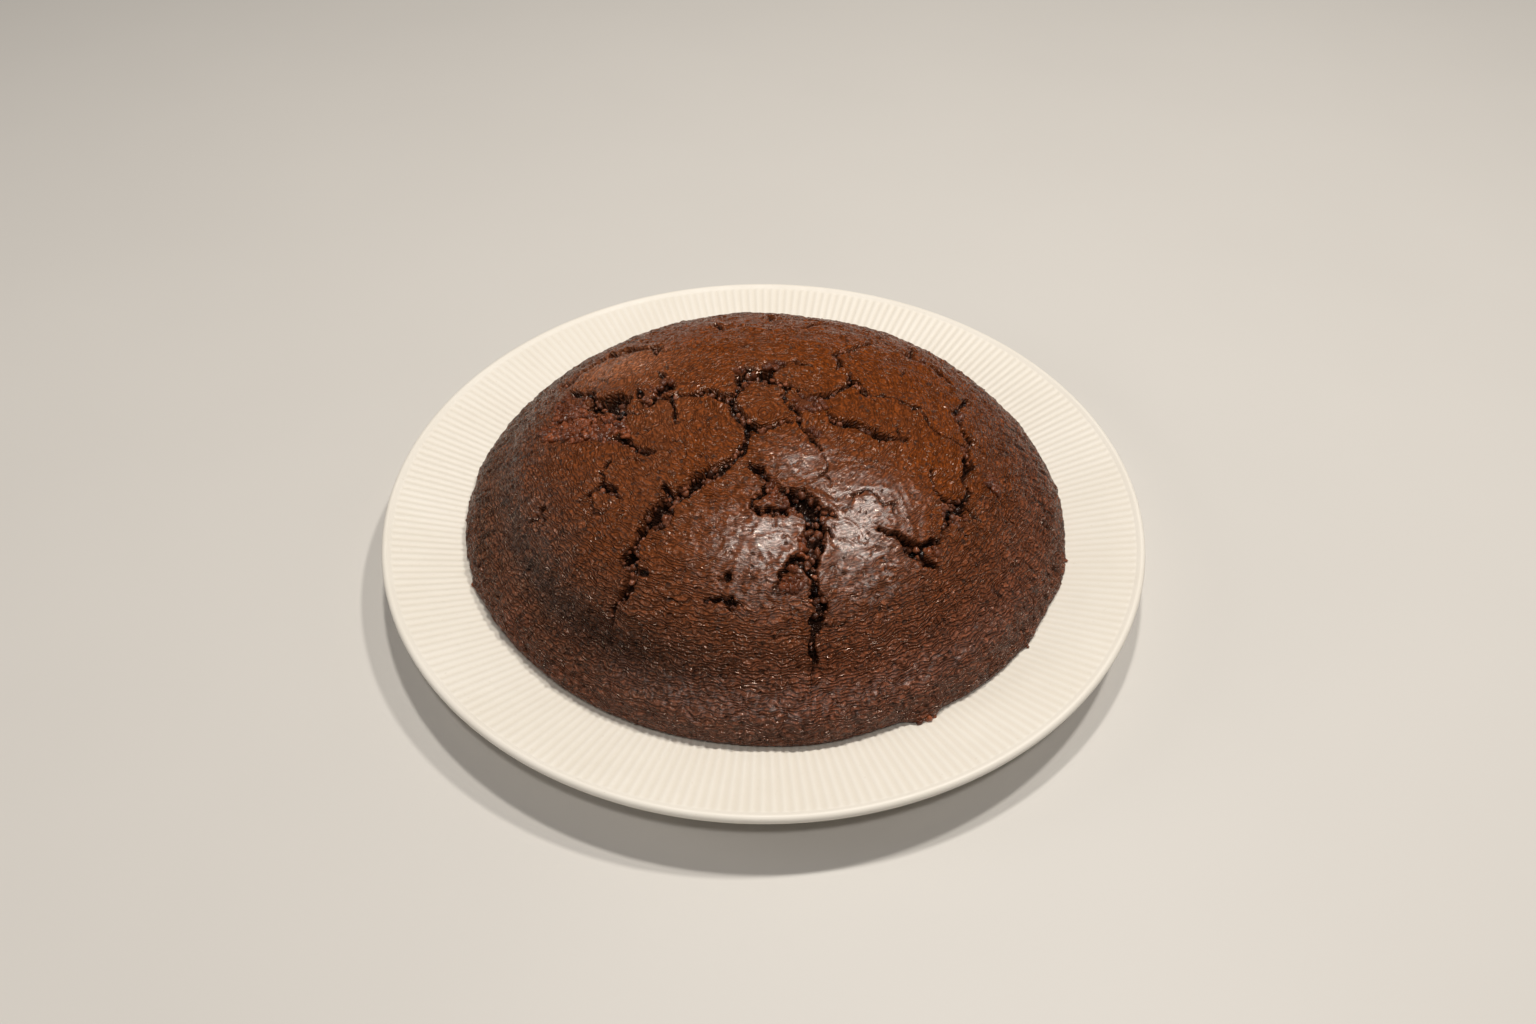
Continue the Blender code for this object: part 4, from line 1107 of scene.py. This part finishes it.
# ---- the crumb ----
def lump_mesh(name, centres, sizes, tones, random, rings=6, columns=8):
    """Many irregular lumps in one mesh: a sphere grid whose radius is 1 plus a few random waves."""
    tilt = np.linspace(0, math.pi, rings + 1)[1:-1]
    turn = np.arange(columns) / columns * math.tau
    t, p = (part.ravel() for part in np.meshgrid(tilt, turn, indexing="ij"))
    unit = np.stack([np.sin(t) * np.cos(p), np.sin(t) * np.sin(p), np.cos(t)], -1)
    unit = np.concatenate([unit, [[0, 0, 1], [0, 0, -1]]])
    count = len(centres)
    waves = random.normal(0, 1, (count, 4, 3)) * 2.2
    phase = random.uniform(0, math.tau, (count, 4, 1))
    swell = 1 + 0.15 * np.sin(waves @ unit.T + phase).sum(1)
    stretch = random.uniform(0.75, 1.25, (count, 1, 3))
    points = centres[:, None] + unit[None] * swell[..., None] * stretch * sizes[:, None, None]
    ring_count = rings - 1
    body = grid_faces(ring_count, columns, True)
    ring = np.arange(columns)
    top, bottom = ring_count * columns, ring_count * columns + 1
    last = ring + (ring_count - 1) * columns
    caps = np.concatenate([fan_faces(ring, top), fan_faces(last, bottom)[:, ::-1]])
    offsets = (np.arange(count) * len(unit))[:, None, None]
    faces = (body[None, :, ::-1] + offsets).reshape(-1, 4).tolist()
    faces += (caps[None] + offsets).reshape(-1, 3).tolist()
    values = {"tone": np.repeat(tones, len(unit))}
    return mesh_piece(name, points.reshape(-1, 3), faces, values=values)


def build_crack_crumb(look, cake):
    """Glistening beads of crumb strewn along the crack floors and walls, by length times width."""
    random = np.random.default_rng(7)
    stretches = np.array([(*a, *b) for route in CRACKS.values() for a, b in zip(route[:-1], route[1:])])
    x0, y0, w0, x1, y1, w1 = stretches.T
    weight = np.hypot(x1 - x0, y1 - y0) * np.clip((w0 + w1) / 2 - 1.1, 0, None)
    pick = random.choice(len(stretches), look.beads, p=weight / weight.sum())
    along = random.random(look.beads)
    width = w0[pick] + along * (w1 - w0)[pick]
    across = random.uniform(-1, 1, look.beads)
    dx, dy = (x1 - x0)[pick], (y1 - y0)[pick]
    length = np.hypot(dx, dy)
    x = x0[pick] + along * dx - dy / length * across * width * 0.5
    y = y0[pick] + along * dy + dx / length * across * width * 0.5
    (wander, size, seed_x), (_, _, seed_y) = WANDER_X[0], WANDER_Y[0]
    x, y = x - wander * ripple(x, y, size, seed_x), y - wander * ripple(x, y, size, seed_y)
    deepest = np.minimum(CRACK_SLOPE * width, CRACK_DEEPEST)
    down = deepest * (0.92 - 0.62 * np.abs(across) ** 1.5) * random.uniform(0.75, 1.1, look.beads)
    sizes = np.exp(random.uniform(math.log(look.smallest / MM), math.log(look.largest / MM), look.beads))
    sizes = np.minimum(sizes, 0.22 * width + 0.3)
    centres = on_dome(x, y, -down + bumps(x, y, SWELLS), cake)
    # painted shade: beads deeper in the crack are darker
    tones = np.clip(random.normal(0.42, 0.30, look.beads) + 0.9 * (0.65 - down / deepest), 0, 1)
    return lump_mesh("crack_crumb", centres, sizes, tones, random)


def build_patch_crumb(cake):
    """Crumb over the places without crust: lumps spread evenly over each ellipse, dark where it is wet."""
    random = np.random.default_rng(19)
    centres, sizes, tones = [], [], []
    for cx, cy, rx, ry, deep, moist in CRUMB_PATCHES:
        count = int(rx * ry * PATCH_CROWDING)
        turn, reach = random.uniform(0, math.tau, count), np.sqrt(random.random(count)) * 0.92
        x, y = cx + rx * reach * np.cos(turn), cy + ry * reach * np.sin(turn)
        shallow = crack_fields(x, y, 0 * x)[0] < 1.2
        x, y, reach = x[shallow], y[shallow], reach[shallow]
        lift = bumps(x, y, SWELLS) - deep * (1 - reach ** 3) + random.uniform(-0.4, 0.5, len(x))
        centres.append(on_dome(x, y, lift, cake))
        sizes.append(random.uniform(0.55, 1.45, len(x)))
        tones.append(random.random(len(x)) * (1 - 0.8 * moist))
    centres, sizes, tones = (np.concatenate(parts) for parts in (centres, sizes, tones))
    return lump_mesh("patch_crumb", centres, sizes, tones, random)


def build_loose_crumbs(cake):
    """A few crumbs on the plate beside the foot, resting on the flange at the tabs' bearings."""
    random = np.random.default_rng(5)
    degrees, distance = np.array(LOOSE_CRUMBS).T
    bearing = np.radians(degrees)
    sizes = random.uniform(0.5, 1.0, len(degrees))
    radius = cake.radius / MM * outline(bearing, cake) + distance
    x, y = radius * np.cos(bearing) + CAKE_CENTRE[0], radius * np.sin(bearing) + CAKE_CENTRE[1]
    z = plate_top(np.hypot(x, y)) + sizes * 0.85
    tones = random.random(len(degrees))
    return lump_mesh("loose_crumbs", np.stack([x, y, z], -1), sizes, tones, random, 10, 14)


# ---- the stage ----
def turned(right, up, backward):
    """Rotation of a thing whose own x, y and z point these ways."""
    return Matrix(np.stack([right, up, backward], 1).tolist()).to_euler()


def area_light(name, place, size, power, colour):
    """A round lamp turned to shine at LIGHT_AIM."""
    lamp = bpy.data.lights.new(name, "AREA")
    lamp.shape, lamp.size, lamp.energy, lamp.color = "DISK", size, power, colour
    holder = bpy.data.objects.new(name, lamp)
    holder.location = place
    backward = np.array(place) - np.array(LIGHT_AIM)
    backward /= np.linalg.norm(backward)
    right = np.cross((0.0, 1.0, 0.0), backward)
    right /= np.linalg.norm(right)
    holder.rotation_euler = turned(right, np.cross(backward, right), backward)
    bpy.context.scene.collection.objects.link(holder)


def add_camera():
    """The camera in the photograph's place, with its angle of view."""
    camera = bpy.data.cameras.new("camera")
    camera.sensor_width = SENSOR_WIDTH
    camera.sensor_fit = "HORIZONTAL"
    camera.lens = CAMERA_FOCAL_PIXELS / PHOTO_WIDTH * SENSOR_WIDTH
    camera.clip_start, camera.clip_end = 0.01, 50.0
    holder = bpy.data.objects.new("camera", camera)
    holder.location = [part * MM for part in CAMERA_PLACE]
    holder.rotation_euler = turned(CAMERA_RIGHT, CAMERA_UP, np.cross(CAMERA_RIGHT, CAMERA_UP))
    bpy.context.scene.collection.objects.link(holder)
    bpy.context.scene.camera = holder


def build_floor():
    """A flat disc: rings of points at growing radii round a middle point."""
    columns = 96
    angle = np.arange(columns) / columns * math.tau
    radii = np.array([300.0, 1200.0, 6000.0])[:, None]
    points = np.stack([radii * np.cos(angle), radii * np.sin(angle), 0 * radii * angle], -1).reshape(-1, 3)
    faces = grid_faces(len(radii), columns, True)[:, ::-1].tolist()
    faces += fan_faces(np.arange(columns), len(points)).tolist()
    return mesh_piece("floor", np.concatenate([points, [[0.0, 0.0, 0.0]]]), faces)


# ---- operators ----
class LAVACAKE_OT_plate(bpy.types.Operator):
    """Add the turned plate with its radial ribs"""
    bl_idname = "lavacake.plate"
    bl_label = "Plate"

    def execute(self, context):
        look = look_plate()
        dress(build_plate(look), glaze_material(look), "plate_glaze", "plate")
        return {"FINISHED"}


class LAVACAKE_OT_crust(bpy.types.Operator):
    """Add the cake's cracked crust"""
    bl_idname = "lavacake.crust"
    bl_label = "Crust"

    def execute(self, context):
        look = look_cake()
        dress(build_crust(look), crust_material(look), "cake_crust", "cake")
        return {"FINISHED"}


class LAVACAKE_OT_crumb(bpy.types.Operator):
    """Add the crumb in the cracks and bare patches, and the few loose crumbs at the foot"""
    bl_idname = "lavacake.crumb"
    bl_label = "Crumb"

    def execute(self, context):
        look, cake = context.scene.lavacake_crumb, look_cake()
        moist = crumb_material(cake, "moist_crumb", SHADED_DEEP_CRUMB, MOIST_CRUMB)
        fluffy = crumb_material(cake, "fluffy_crumb", SHADED_CRUMB, FLUFFY_CRUMB)
        dress(build_crack_crumb(look, cake), moist, "cake_crust")
        dress(build_patch_crumb(cake), fluffy, "cake_crust")
        dress(build_loose_crumbs(cake), fluffy, "cake_crust")
        return {"FINISHED"}


class LAVACAKE_OT_stage(bpy.types.Operator):
    """Add the pale floor, the soft lights and the camera"""
    bl_idname = "lavacake.stage"
    bl_label = "Stage"

    def execute(self, context):
        look = context.scene.lavacake_stage
        floor = build_floor()
        floor.data.materials.append(floor_material(look))
        for name, (place, size, setting, share, colour) in LIGHTS.items():
            area_light(name, place, size, share * getattr(look, setting), colour)
        world = bpy.data.worlds.new("surroundings")
        world.use_nodes = True
        feed(world.node_tree.nodes["Background"], {"Color": SKY_COLOUR, "Strength": look.sky})
        context.scene.world = world
        context.scene.view_settings.view_transform = "Standard"
        add_camera()
        return {"FINISHED"}


class LAVACAKE_PT_panel(bpy.types.Panel):
    """Sidebar panel that lists the pieces and their settings"""
    bl_label = "Lava Cake"
    bl_idname = "LAVACAKE_PT_panel"
    bl_space_type = "VIEW_3D"
    bl_region_type = "UI"
    bl_category = "Lava Cake"

    def draw(self, context):
        scene = context.scene
        for operator, look in ((LAVACAKE_OT_plate, scene.lavacake_plate),
                               (LAVACAKE_OT_crust, scene.lavacake_cake),
                               (LAVACAKE_OT_crumb, scene.lavacake_crumb),
                               (LAVACAKE_OT_stage, scene.lavacake_stage)):
            box = self.layout.box()
            for key in look.bl_rna.properties.keys():
                if key not in ("rna_type", "name"):
                    box.prop(look, key)
            box.operator(operator.bl_idname)


LOOKS = {"lavacake_plate": PlateLook, "lavacake_cake": CakeLook, "lavacake_crumb": CrumbLook,
         "lavacake_stage": StageLook}
CLASSES = (*LOOKS.values(), LAVACAKE_OT_plate, LAVACAKE_OT_crust, LAVACAKE_OT_crumb, LAVACAKE_OT_stage,
           LAVACAKE_PT_panel)


def register():
    for item in CLASSES:
        bpy.utils.register_class(item)
    for key, look in LOOKS.items():
        setattr(bpy.types.Scene, key, PointerProperty(type=look))


def unregister():
    for key in LOOKS:
        delattr(bpy.types.Scene, key)
    for item in reversed(CLASSES):
        bpy.utils.unregister_class(item)


def main():
    register()
    bpy.ops.lavacake.plate()
    bpy.ops.lavacake.crust()
    bpy.ops.lavacake.crumb()
    bpy.ops.lavacake.stage()


if __name__ == "__main__":
    main()
